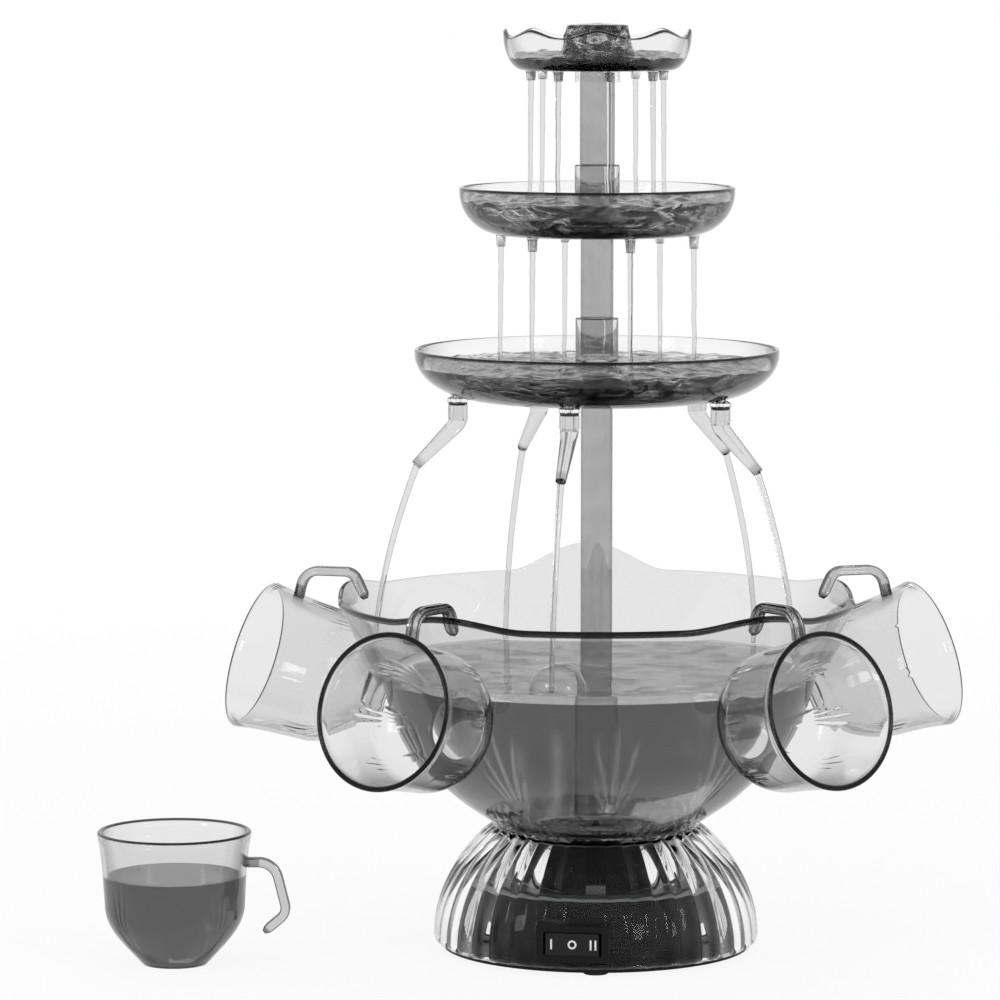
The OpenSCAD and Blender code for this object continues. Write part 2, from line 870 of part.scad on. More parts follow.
module at_mid_nozzles() {
    around(mid_nozzle_count, mid_nozzle_bearing, mid_nozzle_place_r)
        children();
}

module at_crown_nozzles() {
    around(scallop_count, crown_nozzle_bearing, crown_nozzle_place_r)
        children();
}

module middle_tray() {
    color([0.85, 0.86, 0.88, 0.5])
        difference() {
            union() {
                tray_dish(mid_flat_r, mid_tray_r, mid_tray_h - tray_wall, mid_tray_z);
                rod(upper_tube_r + socket_wall, mid_tray_z, mid_collar_z);
                at_mid_nozzles()
                    nozzle(mid_nozzle_h, mid_tray_z);
            }
            hub_bores(mid_tray_z, mid_tube_r, mid_step_z, upper_tube_r, mid_collar_z);
            at_mid_nozzles()
                nozzle_bore(mid_nozzle_h, mid_tray_z);
        }
}

module crown_tray() {
    half_turn = 180 / scallop_count;
    half_w = crown_r * tan(half_turn);
    rise = scallop_depth + tip_over;
    scallop_r = (half_w * half_w + rise * rise) / (2 * rise);
    color([0.85, 0.86, 0.88, 0.5])
        difference() {
            union() {
                tray_dish(crown_flat_r, crown_r, crown_h - tray_wall, crown_z);
                rod(upper_tube_r + socket_wall, crown_socket_z, crown_hub_z);
                at_crown_nozzles()
                    nozzle(crown_nozzle_h, crown_z);
            }
            around(scallop_count, half_turn, crown_r / 2)
                translate([0, 0, crown_z + crown_h - scallop_depth + scallop_r])
                    rotate([0, 90, 0])
                        cylinder(r = scallop_r, h = crown_r);
            rod(upper_tube_r + fit, crown_socket_z - overrun, crown_step_z);
            rod(upper_tube_r - tube_wall, crown_step_z - overrun, crown_hub_z + overrun);
            at_crown_nozzles()
                nozzle_bore(crown_nozzle_h, crown_z);
        }
}

// The flow cap: a low dome on two crossed blades that stand on the hub's step
module flow_cap() {
    cap_z = crown_hub_z + cap_lift;
    cap_curve_r = (cap_r * cap_r + cap_h * cap_h) / (2 * cap_h);
    blade_w = 2 * (upper_tube_r - tube_wall - fit);
    color([0.85, 0.86, 0.88, 0.5])
        union() {
            intersection() {
                translate([0, 0, cap_z + cap_h - cap_curve_r])
                    sphere(r = cap_curve_r);
                rod(cap_curve_r, cap_z, cap_z + cap_h + overrun);
            }
            intersection() {
                rod(blade_w / 2, crown_hub_z - cap_stem_len, cap_z + overrun);
                union() {
                    box_up(blade_w, cap_stem_t, crown_hub_z - cap_stem_len, cap_z + overrun);
                    box_up(cap_stem_t, blade_w, crown_hub_z - cap_stem_len, cap_z + overrun);
                }
            }
            box_up(blade_w + 2 * cap_stem_t, cap_stem_t, crown_hub_z, cap_z + overrun);
        }
}

// Cups

// A smooth line between two points, that leaves and arrives along given handles
function curve(p, q, s, t, steps) = [
    for (k = spread(0, 1, steps))
        pow(1 - k, 3) * p + 3 * pow(1 - k, 2) * k * q + 3 * (1 - k) * k * k * s + pow(k, 3) * t
];

// The cup's section, drawn in by a wall
function cup_side(inset, z_low) =
    let (
        swell = (cup_belly_r - cup_foot_r) * cup_taper_share,
        rise = (cup_belly_z - z_low) * (1 - cup_taper_share)
    )
    concat(
        curve(
            [cup_foot_r - inset, z_low],
            [cup_foot_r + swell - inset, z_low + rise],
            [cup_belly_r - inset, cup_belly_z * cup_taper_share],
            [cup_belly_r - inset, cup_belly_z],
            cup_steps
        ),
        [[cup_lip_r - inset, cup_lip_z], [cup_mouth_r - inset, cup_h]]
    );

// The handle's middle line: out from the wall, down a leaning strap, and back along the bowl's wall
function handle_line() =
    let (
        turn_x = handle_mid_x - handle_turn_r,
        turn_z = (turn_x * sin(wall_turn) + handle_turn_r - leg_mid) / cos(wall_turn),
        bend_z = handle_top_z - handle_bend_r,
        strap_run = turn_x * cos(strap_lean) + (turn_z - bend_z) * sin(strap_lean),
        bend_x = (strap_run + handle_turn_r - handle_bend_r) / cos(strap_lean)
    )
    concat(
        [[cup_lip_r - cup_wall / 2, handle_top_z, 90]],
        [
            for (a = spread(90, strap_lean, bend_steps))
                [bend_x + handle_bend_r * cos(a), bend_z + handle_bend_r * sin(a), a]
        ],
        [
            for (a = spread(strap_lean, wall_turn - 90, bend_steps))
                [turn_x + handle_turn_r * cos(a), turn_z + handle_turn_r * sin(a), a]
        ],
        [[handle_end_x, handle_end_z, wall_turn - 90]]
    );

module handle() {
    line = handle_line();
    last = len(line) - 1;
    outer = [for (p = line) [p[0], p[1]] + on_circle(handle_t / 2, p[2])];
    inner = [for (i = [last : -1 : 0]) [line[i][0], line[i][1]] - on_circle(handle_t / 2, line[i][2])];
    rotate([90, 0, 0])
        linear_extrude(height = handle_w, center = true)
            polygon(concat(outer, inner));
}

module cup() {
    color([0.86, 0.87, 0.88, 0.5])
        difference() {
            union() {
                rotate_extrude()
                    polygon(concat([[0, 0]], cup_side(0, 0), [[0, cup_h]]));
                handle();
            }
            rotate_extrude()
                polygon(concat(
                    [[0, cup_floor]],
                    cup_side(cup_wall, cup_floor),
                    [[cup_mouth_r - cup_wall, cup_h + overrun], [0, cup_h + overrun]]
                ));
        }
}

// A cup on the hump at a bearing: its mouth faces out, and its handle hooks over the rim
module hanging_cup(number) {
    at_bearing(rim_bearing + hump_turn * (number - (hang_count + 1) / 2), hang_r)
        translate([0, 0, hang_z])
            rotate([0, 90 - cup_tilt, 0])
                rotate([0, 0, 180])
                    cup();
}

module standing_cup() {
    translate([-stand_left, -stand_front, 0])
        cup();
}

base_pan();
base_shell();
rubber_feet();
base_screws();
motor_housing();
motor_can();
motor_bush();
motor_screws();
light_board();
lights();
power_inlet();
switch_bezel();
switch_pin();
bowl_gasket();
switch_rocker();
motor_shaft();
drive_magnet();
bowl();
spindle_pin();
impeller();
driven_magnet();
pump_cover();
lower_tube();
lower_tray();
spout_seals();
spout(1);  // spout_1
spout(2);  // spout_2
spout(3);  // spout_3
spout(4);  // spout_4
spout(5);  // spout_5
middle_tube();
middle_tray();
upper_tube();
crown_tray();
flow_cap();
hanging_cup(1);  // cup_1
hanging_cup(2);  // cup_2
hanging_cup(3);  // cup_3
hanging_cup(4);  // cup_4
standing_cup();  // cup_5
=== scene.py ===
import math
from collections import namedtuple

import bmesh
import bpy
from mathutils import Matrix, Vector, noise


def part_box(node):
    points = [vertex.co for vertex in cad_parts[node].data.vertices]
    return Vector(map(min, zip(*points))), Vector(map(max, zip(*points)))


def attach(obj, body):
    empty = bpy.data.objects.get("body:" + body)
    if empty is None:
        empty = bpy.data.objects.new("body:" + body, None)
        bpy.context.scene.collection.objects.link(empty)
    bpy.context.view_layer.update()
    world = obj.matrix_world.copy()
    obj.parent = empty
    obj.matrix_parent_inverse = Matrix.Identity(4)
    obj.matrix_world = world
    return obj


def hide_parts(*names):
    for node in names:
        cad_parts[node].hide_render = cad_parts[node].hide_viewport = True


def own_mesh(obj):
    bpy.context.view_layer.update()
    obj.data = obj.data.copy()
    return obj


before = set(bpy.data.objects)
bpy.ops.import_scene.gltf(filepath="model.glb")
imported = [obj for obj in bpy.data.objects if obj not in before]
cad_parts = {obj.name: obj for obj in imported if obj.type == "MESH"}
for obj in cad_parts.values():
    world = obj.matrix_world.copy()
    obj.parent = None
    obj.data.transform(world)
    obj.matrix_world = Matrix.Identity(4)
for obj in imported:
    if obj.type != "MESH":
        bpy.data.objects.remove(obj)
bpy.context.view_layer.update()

# All lengths are in metres, and bearings are in degrees from the front, growing to the right.
MM = 0.001
FULL_TURN = 360
AXIS_R = 0.01 * MM
# Depth to which a liquid reaches into the wall that holds it, so that no air lies between them
SOAK = 0.3 * MM
# Gap between two clear pieces that meet
TOUCH = 0.05 * MM

# Camera, from the photograph's viewing angle
CAMERA_AWAY = 2.6
CAMERA_HEIGHT = 0.504
CAMERA_PITCH = 6.06
CAMERA_YAW = 1.07
CAMERA_LENS = 187.2
CAMERA_SENSOR = 36
CAMERA_FAR = 50

# Bowl
BOWL_CURVE = 112 * MM
BOWL_LEAN = 26
BOWL_WALL = 2.5 * MM
BOWL_FOOT = 45 * MM
BOWL_RIM = 131 * MM
HUMP_HEIGHT = 4.5 * MM
REAR_HUMP_HEIGHT = 13 * MM
HUMP_COUNT = 5
RIM_BEARING = 2
HUMP_FLAT_SHARE = 0.5
RIM_BEAD = 1.4 * MM
DRINK_LEVEL = 145 * MM

# Base
BASE_EDGE = 4 * MM
BASE_NECK = 52 * MM
BASE_WALL = 2.5 * MM
BASE_DECK_BORE = 40 * MM
DOME_POWER = 0.87
FLUTES = 40
FLUTE_DEPTH = 1.2 * MM

# Trays and tubes
TRAY_WALL = 2.2 * MM
TUBE_WALL = 2 * MM
FIT = 0.05 * MM
SOCKET_WALL = 2.5 * MM
STEP = 3 * MM
LOWER_FLAT = 56 * MM
LOWER_HEIGHT = 25.5 * MM
LOWER_SOCKET = 22 * MM
MIDDLE_FLAT = 47 * MM
MIDDLE_HEIGHT = 24 * MM
CROWN_FLAT = 37 * MM
CROWN_HUB_DROP = 6 * MM
LOWER_TUBE = 8 * MM
MIDDLE_TUBE = 8.25 * MM
UPPER_TUBE = 8.75 * MM
TUBES = {
    "lower_tube": (LOWER_TUBE, "tower"),
    "middle_tube": (MIDDLE_TUBE, "middle_tier"),
    "upper_tube": (UPPER_TUBE, "crown"),
}
CROWN_LOBES = 8
CROWN_SCALLOP = 4 * MM

# Spouts
SPOUTS = 5
SPOUT_PLACE = 70 * MM
SPOUT_BEARING = -11
SPOUT_R = 5 * MM
SPOUT_TIP = 2.6 * MM
SPOUT_BORE = 1.6 * MM
SPOUT_LENGTH = 30 * MM
SPOUT_SLANT = 45
SPOUT_BEND = 3 * MM
SLEEVE_HEIGHT = 8 * MM
ELBOW_DROP = 1 * MM

# Cups
CUP_MOUTH = 38.5 * MM
CUP_HEIGHT = 67 * MM
CUP_FOOT = 16.2 * MM
CUP_WALL = 2 * MM
CUP_BEAD = 1.4 * MM
CUP_FLOOR = 3 * MM
CUP_BELLY = 35 * MM
CUP_BELLY_Z = 31 * MM
CUP_LIP = 36 * MM
CUP_LIP_Z = 52 * MM
CUP_LIP_EASE = 6 * MM
CUP_TAPER = 0.6
CUP_TILT = 14
HANDLE_REACH = 58 * MM
HANDLE_THICK = 5.5 * MM
HANDLE_WIDE = 7 * MM
HANDLE_TOP = 51 * MM
HANDLE_BEND = 10 * MM
HANDLE_TURN = 7 * MM
STRAP_LEAN = 14
HANDLE_END = 44.5 * MM
REST_GAP = 0.4 * MM
SEAT_GAP = 1 * MM
HANGING_CUPS = 4
CUP_DRINK = 45 * MM


# Small geometry helpers

def spread(start, end, steps):
    return [start + (end - start) * i / steps for i in range(steps + 1)]


def sin(degrees):
    return math.sin(math.radians(degrees))


def cos(degrees):
    return math.cos(math.radians(degrees))


def tan(degrees):
    return math.tan(math.radians(degrees))


def arc(centre, radius, start, end, steps):
    return [(centre[0] + radius * cos(a), centre[1] + radius * sin(a)) for a in spread(start, end, steps)]


def straight(start, end, steps):
    return [tuple(Vector(start).lerp(Vector(end), k)) for k in spread(0, 1, steps)]


def bezier(p, q, s, t, steps):
    points = []
    for k in spread(0, 1, steps):
        a, b, c, d = (1 - k) ** 3, 3 * (1 - k) ** 2 * k, 3 * (1 - k) * k * k, k ** 3
        points.append(tuple(a * w + b * x + c * y + d * z for w, x, y, z in zip(p, q, s, t)))
    return points


def at_bearing(bearing, radius, height):
    return Vector((radius * sin(bearing), -radius * cos(bearing), height))


def facing(bearing):
    return Matrix.Rotation(math.radians(bearing), 4, "Z")


def low_z(node):
    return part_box(node)[0][2]


def high_z(node):
    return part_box(node)[1][2]


def half_width(node):
    low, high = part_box(node)
    return (high[0] - low[0]) / 2


def smooth_step(value):
    value = min(max(value, 0), 1)
    return value * value * (3 - 2 * value)


# Shapes are pairs of points and faces

def band(ring, following):
    """Faces between two rings of points. A ring on the axis repeats its one point."""
    faces = []
    for step in range(len(ring)):
        after = (step + 1) % len(ring)
        face = list(dict.fromkeys([ring[step], ring[after], following[after], following[step]]))
        if len(face) > 2:
            faces.append(face)
    return faces


def lathe(outline, turns, shift=None, closed=True):
    """An outline of (radius, height) points turned about Z. shift gives the change of both at a bearing."""
    points = []
    rings = []
    for index, (radius, height) in enumerate(outline):
        if radius < AXIS_R:
            rings.append([len(points)] * turns)
            points.append(Vector((0, 0, height)))
            continue
        ring = []
        for step in range(turns):
            bearing = FULL_TURN * step / turns
            wider, higher = shift(bearing, index) if shift else (0, 0)
            ring.append(len(points))
            points.append(at_bearing(bearing, radius + wider, height + higher))
        rings.append(ring)
    if closed:
        rings.append(rings[0])
    return points, [face for pair in zip(rings, rings[1:]) for face in band(*pair)]


def bar_faces(rings):
    """Faces of a bar from its rings of points, with both its ends."""
    return [rings[0], rings[-1]] + [face for pair in zip(rings, rings[1:]) for face in band(*pair)]


def tube_along(path, radii, sides):
    """A round rod along a path of points."""
    points = []
    rings = []
    for index, centre in enumerate(path):
        before = path[max(index - 1, 0)]
        after = path[min(index + 1, len(path) - 1)]
        forward = (after - before).normalized()
        side = forward.orthogonal() if index == 0 else side - forward * side.dot(forward)
        side.normalize()
        other = forward.cross(side)
        ring = []
        for step in range(sides):
            bearing = FULL_TURN * step / sides
            ring.append(len(points))
            points.append(centre + radii[index] * (cos(bearing) * side + sin(bearing) * other))
        rings.append(ring)
    return points, bar_faces(rings)


def moved(shape, matrix):
    return [matrix @ p for p in shape[0]], shape[1]


def moved_by(shape, offset):
    return moved(shape, Matrix.Translation(offset))


def joined(shapes):
    points = []
    faces = []
    for more_points, more_faces in shapes:
        start = len(points)
        points += list(more_points)
        faces += [[start + i for i in face] for face in more_faces]
    return points, faces


def marked(shape, test):
    return [test(p) for p in shape[0]]


def ring_marks(outline, turns, shares):
    """The mark of each point of a lathe shape. shares maps points of the outline to their marks."""
    marks = []
    for point in outline:
        marks += [shares.get(point, 0.0)] * (1 if point[0] < AXIS_R else turns)
    return marks


def make_piece(name, shape, material, body, stands_for=(), slot=None, sharp=40, **marks):
    """A mesh that rides on a body. marks are values for each point, which the material reads by name."""
    mesh = bpy.data.meshes.new(name)
    mesh.from_pydata([tuple(p) for p in shape[0]], [], shape[1])
    mesh.validate()
    fix_normals(mesh)
    for mark, values in marks.items():
        mesh.attributes.new(mark, "FLOAT", "POINT").data.foreach_set("value", values)
    mesh.shade_smooth()
    mesh.set_sharp_from_angle(angle=math.radians(sharp))
    mesh.materials.append(material)
    piece = bpy.data.objects.new(name, mesh)
    bpy.context.scene.collection.objects.link(piece)
    bpy.context.view_layer.update()
    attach(piece, body)
    if stands_for:
        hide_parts(*stands_for)
    return piece


def make_clear(name, shape, material, body, node, sharp=40, **marks):
    """A clear piece that stands for a node of the frame."""
    make_piece(name, shape, material, body, [node], "clear_plastic", sharp, **marks)


def fix_normals(mesh):
    work = bmesh.new()
    work.from_mesh(mesh)
    bmesh.ops.recalc_face_normals(work, faces=work.faces)
    work.to_mesh(mesh)
    work.free()


# Materials

PLASTIC_IOR = 1.49
DRINK_IOR = 1.33
SMOOTH = 0.01
CUT_ROUGHNESS = 0.06
DRINK_ROUGHNESS = 0.03
# Grey of the painted shade on rims, ends and the sides of a cup's handle
SHADE_GREY = 0.004
# Share of the face grey left on a cup's handle, whose sides get painted shade
THICK_SHADE_SHARE = 0.75
UPWARD = 0.7
# Sockets of a node that mixes two colours
MIX_A = 6
MIX_B = 7
MIX_RESULT = 2


def grey(level):
    return (level, level, level)


def add_node(tree, kind, **values):
    """A new node with the values of its inputs. An underscore stands for a space in an input's name."""
    node = tree.nodes.new("ShaderNode" + kind)
    for key, value in values.items():
        node.inputs[key.replace("_", " ")].default_value = value
    return node


def new_material(name):
    """An empty material, its nodes, and the socket that takes its surface."""
    material = bpy.data.materials.new(name)
    material.use_nodes = True
    tree = material.node_tree
    tree.nodes.clear()
    return material, tree, add_node(tree, "OutputMaterial").inputs["Surface"]


def principled(name, **values):
    material, tree, surface = new_material(name)
    shader = add_node(tree, "BsdfPrincipled", **values)
    tree.links.new(shader.outputs["BSDF"], surface)
    return material, tree, shader


def noise_value(tree, scale, detail=3, flatten=1, swirl=0):
    """Noise in the piece's own space. flatten makes its patches lower than they are wide."""
    place = add_node(tree, "TexCoord")
    stretch = add_node(tree, "Mapping", Scale=(1, 1, flatten))
    texture = add_node(tree, "TexNoise", Scale=scale, Detail=detail, Distortion=swirl)
    tree.links.new(place.outputs["Object"], stretch.inputs["Vector"])
    tree.links.new(stretch.outputs["Vector"], texture.inputs["Vector"])
    return texture.outputs["Fac"]


def add_bump(tree, shader, height, distance):
    bump = add_node(tree, "Bump", Strength=1.0, Distance=distance)
    tree.links.new(height, bump.inputs["Height"])
    tree.links.new(bump.outputs["Normal"], shader.inputs["Normal"])


def add_ramp(tree, source, target, low, high, start=0.3, end=0.7):
    ramp = add_node(tree, "ValToRGB")
    for element, position, colour in zip(ramp.color_ramp.elements, (start, end), (low, high)):
        element.position = position
        element.color = (*colour, 1)
    tree.links.new(source, ramp.inputs["Fac"])
    tree.links.new(ramp.outputs["Color"], target)


def mark_value(tree, mark):
    node = add_node(tree, "Attribute")
    node.attribute_name = mark
    return node.outputs["Fac"]


def add_slant_shade(tree, target, face, edge, start, end):
    """Colour of a clear piece, with painted shade that grows where its surface is seen at a slant."""
    weight = add_node(tree, "LayerWeight", Blend=0.5)
    add_ramp(tree, weight.outputs["Facing"], target, grey(face), grey(edge), start, end)


def math_node(tree, operation):
    node = add_node(tree, "Math")
    node.operation = operation
    return node


def blend_node(tree, factor, second=None):
    """Blends its A colour with its B colour, which is the grey second if that is given."""
    node = add_node(tree, "Mix")
    node.data_type = "RGBA"
    if second is not None:
        node.inputs[MIX_B].default_value = (*grey(second), 1)
    tree.links.new(factor, node.inputs["Factor"])
    return node


def outside_mark(tree, mark):
    """The mark on the outside of a wall, and 0 where light meets the wall from within."""
    side = add_node(tree, "NewGeometry")
    outside = math_node(tree, "SUBTRACT")
    outside.inputs[0].default_value = 1
    both = math_node(tree, "MULTIPLY")
    tree.links.new(side.outputs["Backfacing"], outside.inputs[1])
    tree.links.new(mark_value(tree, mark), both.inputs[0])
    tree.links.new(outside.outputs[0], both.inputs[1])
    return both.outputs[0]


def clear_plastic(name, face, edge, gloss, waves=0.02 * MM):
    """Clear moulded plastic with faint flow waves. Painted shade darkens it where it is seen at a slant, on
    the outside of its rims and ends, and on the sides of a cup's handle, and its cuts are rougher."""
    tint = (*grey(gloss), 1)
    material, tree, shader = principled(name, Transmission_Weight=1.0, IOR=PLASTIC_IOR, Specular_Tint=tint)
    # Painted shade on the sides of a cup's handle, where its mark lies
    thick_shade = blend_node(tree, mark_value(tree, "thick_shade"))
    add_slant_shade(tree, thick_shade.inputs[MIX_A], face, edge, start=0.4, end=0.97)
    add_slant_shade(tree, thick_shade.inputs[MIX_B], THICK_SHADE_SHARE * face, SHADE_GREY, start=0.03, end=0.45)
    # The rim mark paints shade on the outside of rims and ends.
    rim = blend_node(tree, outside_mark(tree, "rim"), SHADE_GREY)
    tree.links.new(thick_shade.outputs[MIX_RESULT], rim.inputs[MIX_A])
    tree.links.new(rim.outputs[MIX_RESULT], shader.inputs["Base Color"])
    add_ramp(tree, mark_value(tree, "cut"), shader.inputs["Roughness"], grey(SMOOTH), grey(CUT_ROUGHNESS),
             start=0.1, end=0.9)
    add_bump(tree, shader, noise_value(tree, scale=60, detail=2), waves)
    return material


def opaque(name, colours, rough, scale, bump=0.0, metal=0.0, coat=0.0, gloss=0.5, top=None):
    """A solid finish whose colour and gloss both vary a little. top is the grey of painted light on the faces
    that look up.
    """
    material, tree, shader = principled(name, Metallic=metal, Coat_Weight=coat, Specular_IOR_Level=gloss)
    grain = noise_value(tree, scale)
    target = shader.inputs["Base Color"]
    if top is not None:
        blend = blend_node(tree, top_light_mask(tree), top)
        tree.links.new(blend.outputs[MIX_RESULT], target)
        target = blend.inputs[MIX_A]
    add_ramp(tree, grain, target, *colours)
    add_ramp(tree, grain, shader.inputs["Roughness"], *[grey(level) for level in rough])
    if bump:
        add_bump(tree, shader, grain, bump)
    return material


def top_light_mask(tree):
    """1 on faces that look up, where light is painted, and 0 on the rest."""
    place = add_node(tree, "TexCoord")
    split = add_node(tree, "SeparateXYZ")
    above = math_node(tree, "GREATER_THAN")
    above.inputs[1].default_value = UPWARD
    tree.links.new(place.outputs["Normal"], split.inputs[0])
    tree.links.new(split.outputs["Z"], above.inputs[0])
    return above.outputs[0]


def liquid(name, low, high, scale, waves=0.0, deep=0.02, contrast=0.15, flatten=1, swirl=0):
    """The drink: a clear tinted liquid with cloudy patches and small waves. A mark blends in a second grey:
    painted light in the bowl's drink, near white in the tubes below the bowl's drink, and darker towards the
    floors of the trays."""
    material, tree, shader = principled(name, Transmission_Weight=1.0, IOR=DRINK_IOR)
    cloud = noise_value(tree, scale, detail=4, flatten=flatten, swirl=swirl)
    blend = blend_node(tree, mark_value(tree, "deep"), deep)
    add_ramp(tree, cloud, blend.inputs[MIX_A], grey(low), grey(high), 0.5 - contrast, 0.5 + contrast)
    tree.links.new(blend.outputs[MIX_RESULT], shader.inputs["Base Color"])
    add_ramp(tree, cloud, shader.inputs["Roughness"], grey(SMOOTH), grey(DRINK_ROUGHNESS))
    if waves:
        add_bump(tree, shader, cloud, waves)
    return material


def falling_water(name, face, edge, scale, waves):
    material, tree, shader = principled(name, Transmission_Weight=1.0, IOR=DRINK_IOR, Roughness=SMOOTH)
    add_slant_shade(tree, shader.inputs["Base Color"], face, edge, start=0.2, end=0.9)
    add_bump(tree, shader, noise_value(tree, scale, detail=2), waves)
    return material


BLACK = (grey(0.003), grey(0.006))
# The edge grey of each clear finish is painted shade where its surface is seen at a slant.
clear = clear_plastic("clear_plastic", face=0.92, edge=0.12, gloss=0.4)
base_plastic = clear_plastic("base_plastic", face=0.95, edge=0.05, gloss=0.15)
bowl_plastic = clear_plastic("bowl_plastic", face=0.8, edge=0.12, gloss=0.35)
cup_plastic = clear_plastic("cup_plastic", face=0.82, edge=0.1, gloss=0.35)
spout_plastic = clear_plastic("spout_plastic", face=0.72, edge=0.1, gloss=0.5, waves=0.01 * MM)
# The bowl's drink turns towards the 0.9 grey where painted light is marked.
bowl_drink = liquid("bowl_drink", low=0.115, high=0.135, scale=12, deep=0.9)
surface_drink = liquid("surface_drink", low=0.55, high=0.7, scale=40, waves=0.05 * MM)
tube_drink = liquid("tube_drink", low=0.4, high=0.5, scale=60, waves=0.05 * MM, deep=0.97)
tray_drink = liquid("tray_drink", low=0.015, high=0.8, scale=60, waves=1.2 * MM, contrast=0.06, flatten=2.5,
                    swirl=2)
# The edge grey of the streams and the bubble is painted shade as well.
stream = falling_water("stream", face=0.75, edge=0.12, scale=200, waves=0.15 * MM)
bubble = falling_water("bubble", face=0.97, edge=0.35, scale=60, waves=0.05 * MM)
black_plastic = opaque("black_plastic", BLACK, rough=(0.35, 0.5), scale=900, bump=0.004 * MM, gloss=0.15)
black_gloss = opaque("black_gloss", BLACK, rough=(0.12, 0.2), scale=250, bump=0.004 * MM, gloss=0.25)
# The motor housing's faces that look up get painted light.
housing_lit_top = opaque("housing_lit_top", BLACK, rough=(0.35, 0.5), scale=900, bump=0.004 * MM, gloss=0.15,
                         top=0.5)
silicone = opaque("silicone", (grey(0.5), grey(0.6)), rough=(0.45, 0.6), scale=600, bump=0.02 * MM)
rubber = opaque("rubber", (grey(0.012), grey(0.03)), rough=(0.7, 0.9), scale=600, bump=0.02 * MM)
steel = opaque("steel", (grey(0.5), grey(0.62)), rough=(0.22, 0.38), scale=500, bump=0.01 * MM, metal=1.0)
brass = opaque("brass", ((0.55, 0.4, 0.16), (0.7, 0.52, 0.22)), rough=(0.2, 0.35), scale=400, bump=0.01 * MM,
               metal=1.0)
board = opaque("board", ((0.006, 0.009, 0.007), (0.01, 0.016, 0.012)), rough=(0.35, 0.5), scale=300,
               bump=0.02 * MM)
light = opaque("light", (grey(0.02), grey(0.05)), rough=(0.12, 0.2), scale=200, coat=0.5)
white_plastic = opaque("white_plastic", (grey(0.6), grey(0.72)), rough=(0.3, 0.42), scale=400, bump=0.02 * MM)
magnet = opaque("magnet", (grey(0.03), grey(0.06)), rough=(0.45, 0.65), scale=700, bump=0.04 * MM)
white_paint = opaque("white_paint", (grey(0.75), grey(0.85)), rough=(0.35, 0.5), scale=500, bump=0.01 * MM)


# Cut ornaments: sprays of slim leaves that spread upwards. turn is how far the outer leaves lean, root the
# share of that at their foot, and taper how quickly their ends fade.

Spray = namedtuple("Spray", "count first rays turn root low high width taper")
BOWL_FANS = Spray(count=10, first=6, rays=5, turn=15, root=0.08, low=76 * MM, high=132 * MM,
                  width=2.6 * MM, taper=5)
CUP_LEAVES = Spray(count=8, first=0, rays=5, turn=17, root=0.15, low=6 * MM, high=44 * MM,
                   width=1.2 * MM, taper=6)
OUTER_LEAF_LOSS = 0.5
CUT_DEPTH = 0.35 * MM


def spray_share(spray, bearing, radius, height):
    """Share of a cut's full depth at a place on a wall."""
    turn = FULL_TURN / spray.count
    away = (bearing - spray.first + turn / 2) % turn - turn / 2
    rise = (height - spray.low) / (spray.high - spray.low)
    share = 0
    if not 0 < rise < 1:
        return share
    for ray in range(spray.rays):
        side = 2 * ray / (spray.rays - 1) - 1
        end = 1 - OUTER_LEAF_LOSS * side * side
        if rise > end:
            continue
        lean = side * spray.turn * (spray.root + (1 - spray.root) * rise)
        offset = math.radians(away - lean) * radius
        taper = min(1, spray.taper * rise, spray.taper * (end - rise))
        share = max(share, taper * math.exp(-(offset / (spray.width / 2)) ** 2))
    return share


# Bowl: a round lower part and a leaning wall, a rim that rises in five humps, and a cut ornament

BOWL_TURNS = 720
BOWL_WALL_STEPS = 24
CARVED_WALL_ROWS = 6
BEAD_SINK_SHARE = 1.6
BEAD_SHADE_POINTS = 7
BAND_DEPTHS = (1.7 * MM, 1.3 * MM)
RIB_COUNT = 60
RIB_DEPTH = 0.4 * MM
RIB_TOP = 76 * MM
RIB_FADE = 8 * MM

bowl_foot_z = low_z("bowl")
bowl_centre_z = bowl_foot_z + math.sqrt(BOWL_CURVE ** 2 - BOWL_FOOT ** 2)
bowl_floor_z = bowl_foot_z + BOWL_WALL
bowl_inner = BOWL_CURVE - BOWL_WALL
bowl_floor_r = math.sqrt(bowl_inner ** 2 - (bowl_centre_z - bowl_floor_z) ** 2)
lean_r = BOWL_CURVE * cos(BOWL_LEAN)
lean_z = bowl_centre_z - BOWL_CURVE * sin(BOWL_LEAN)
rim_z = lean_z + (BOWL_RIM - lean_r) / tan(BOWL_LEAN)
peak_z = rim_z + HUMP_HEIGHT
peak_r = BOWL_RIM + HUMP_HEIGHT * tan(BOWL_LEAN)
rim_level = BOWL_WALL / cos(BOWL_LEAN)
inner_lean_r = bowl_inner * cos(BOWL_LEAN)
inner_lean_z = bowl_centre_z - bowl_inner * sin(BOWL_LEAN)


def hump(bearing):
    """Height of the rim above its dips at a bearing. The rear hump is the tall one."""
    turn = FULL_TURN / HUMP_COUNT
    around = bearing - RIM_BEARING
    away = abs((around + turn / 2) % turn - turn / 2)
    share = (sin(away) / sin(turn / 2) - HUMP_FLAT_SHARE) / (1 - HUMP_FLAT_SHARE)
    share = min(max(share, 0), 1)
    rear = abs(around % FULL_TURN - FULL_TURN / 2) < turn / 2
    return (REAR_HUMP_HEIGHT if rear else HUMP_HEIGHT) * (1 - cos(180 * share)) / 2


def bowl_inner_radius(height):
    if height > inner_lean_z:
        return inner_lean_r + (height - inner_lean_z) * tan(BOWL_LEAN)
    return math.sqrt(bowl_inner ** 2 - (bowl_centre_z - height) ** 2)


def bowl_round(radius, start, end, steps):
    return [(radius * sin(a), bowl_centre_z - radius * cos(a)) for a in spread(start, end, steps)]


def rib_cut(bearing, height):
    """Depth of the short ribs round the bowl's foot."""
    return RIB_DEPTH * smooth_step((RIB_TOP - height) / RIB_FADE) * abs(sin(bearing * RIB_COUNT / 2))


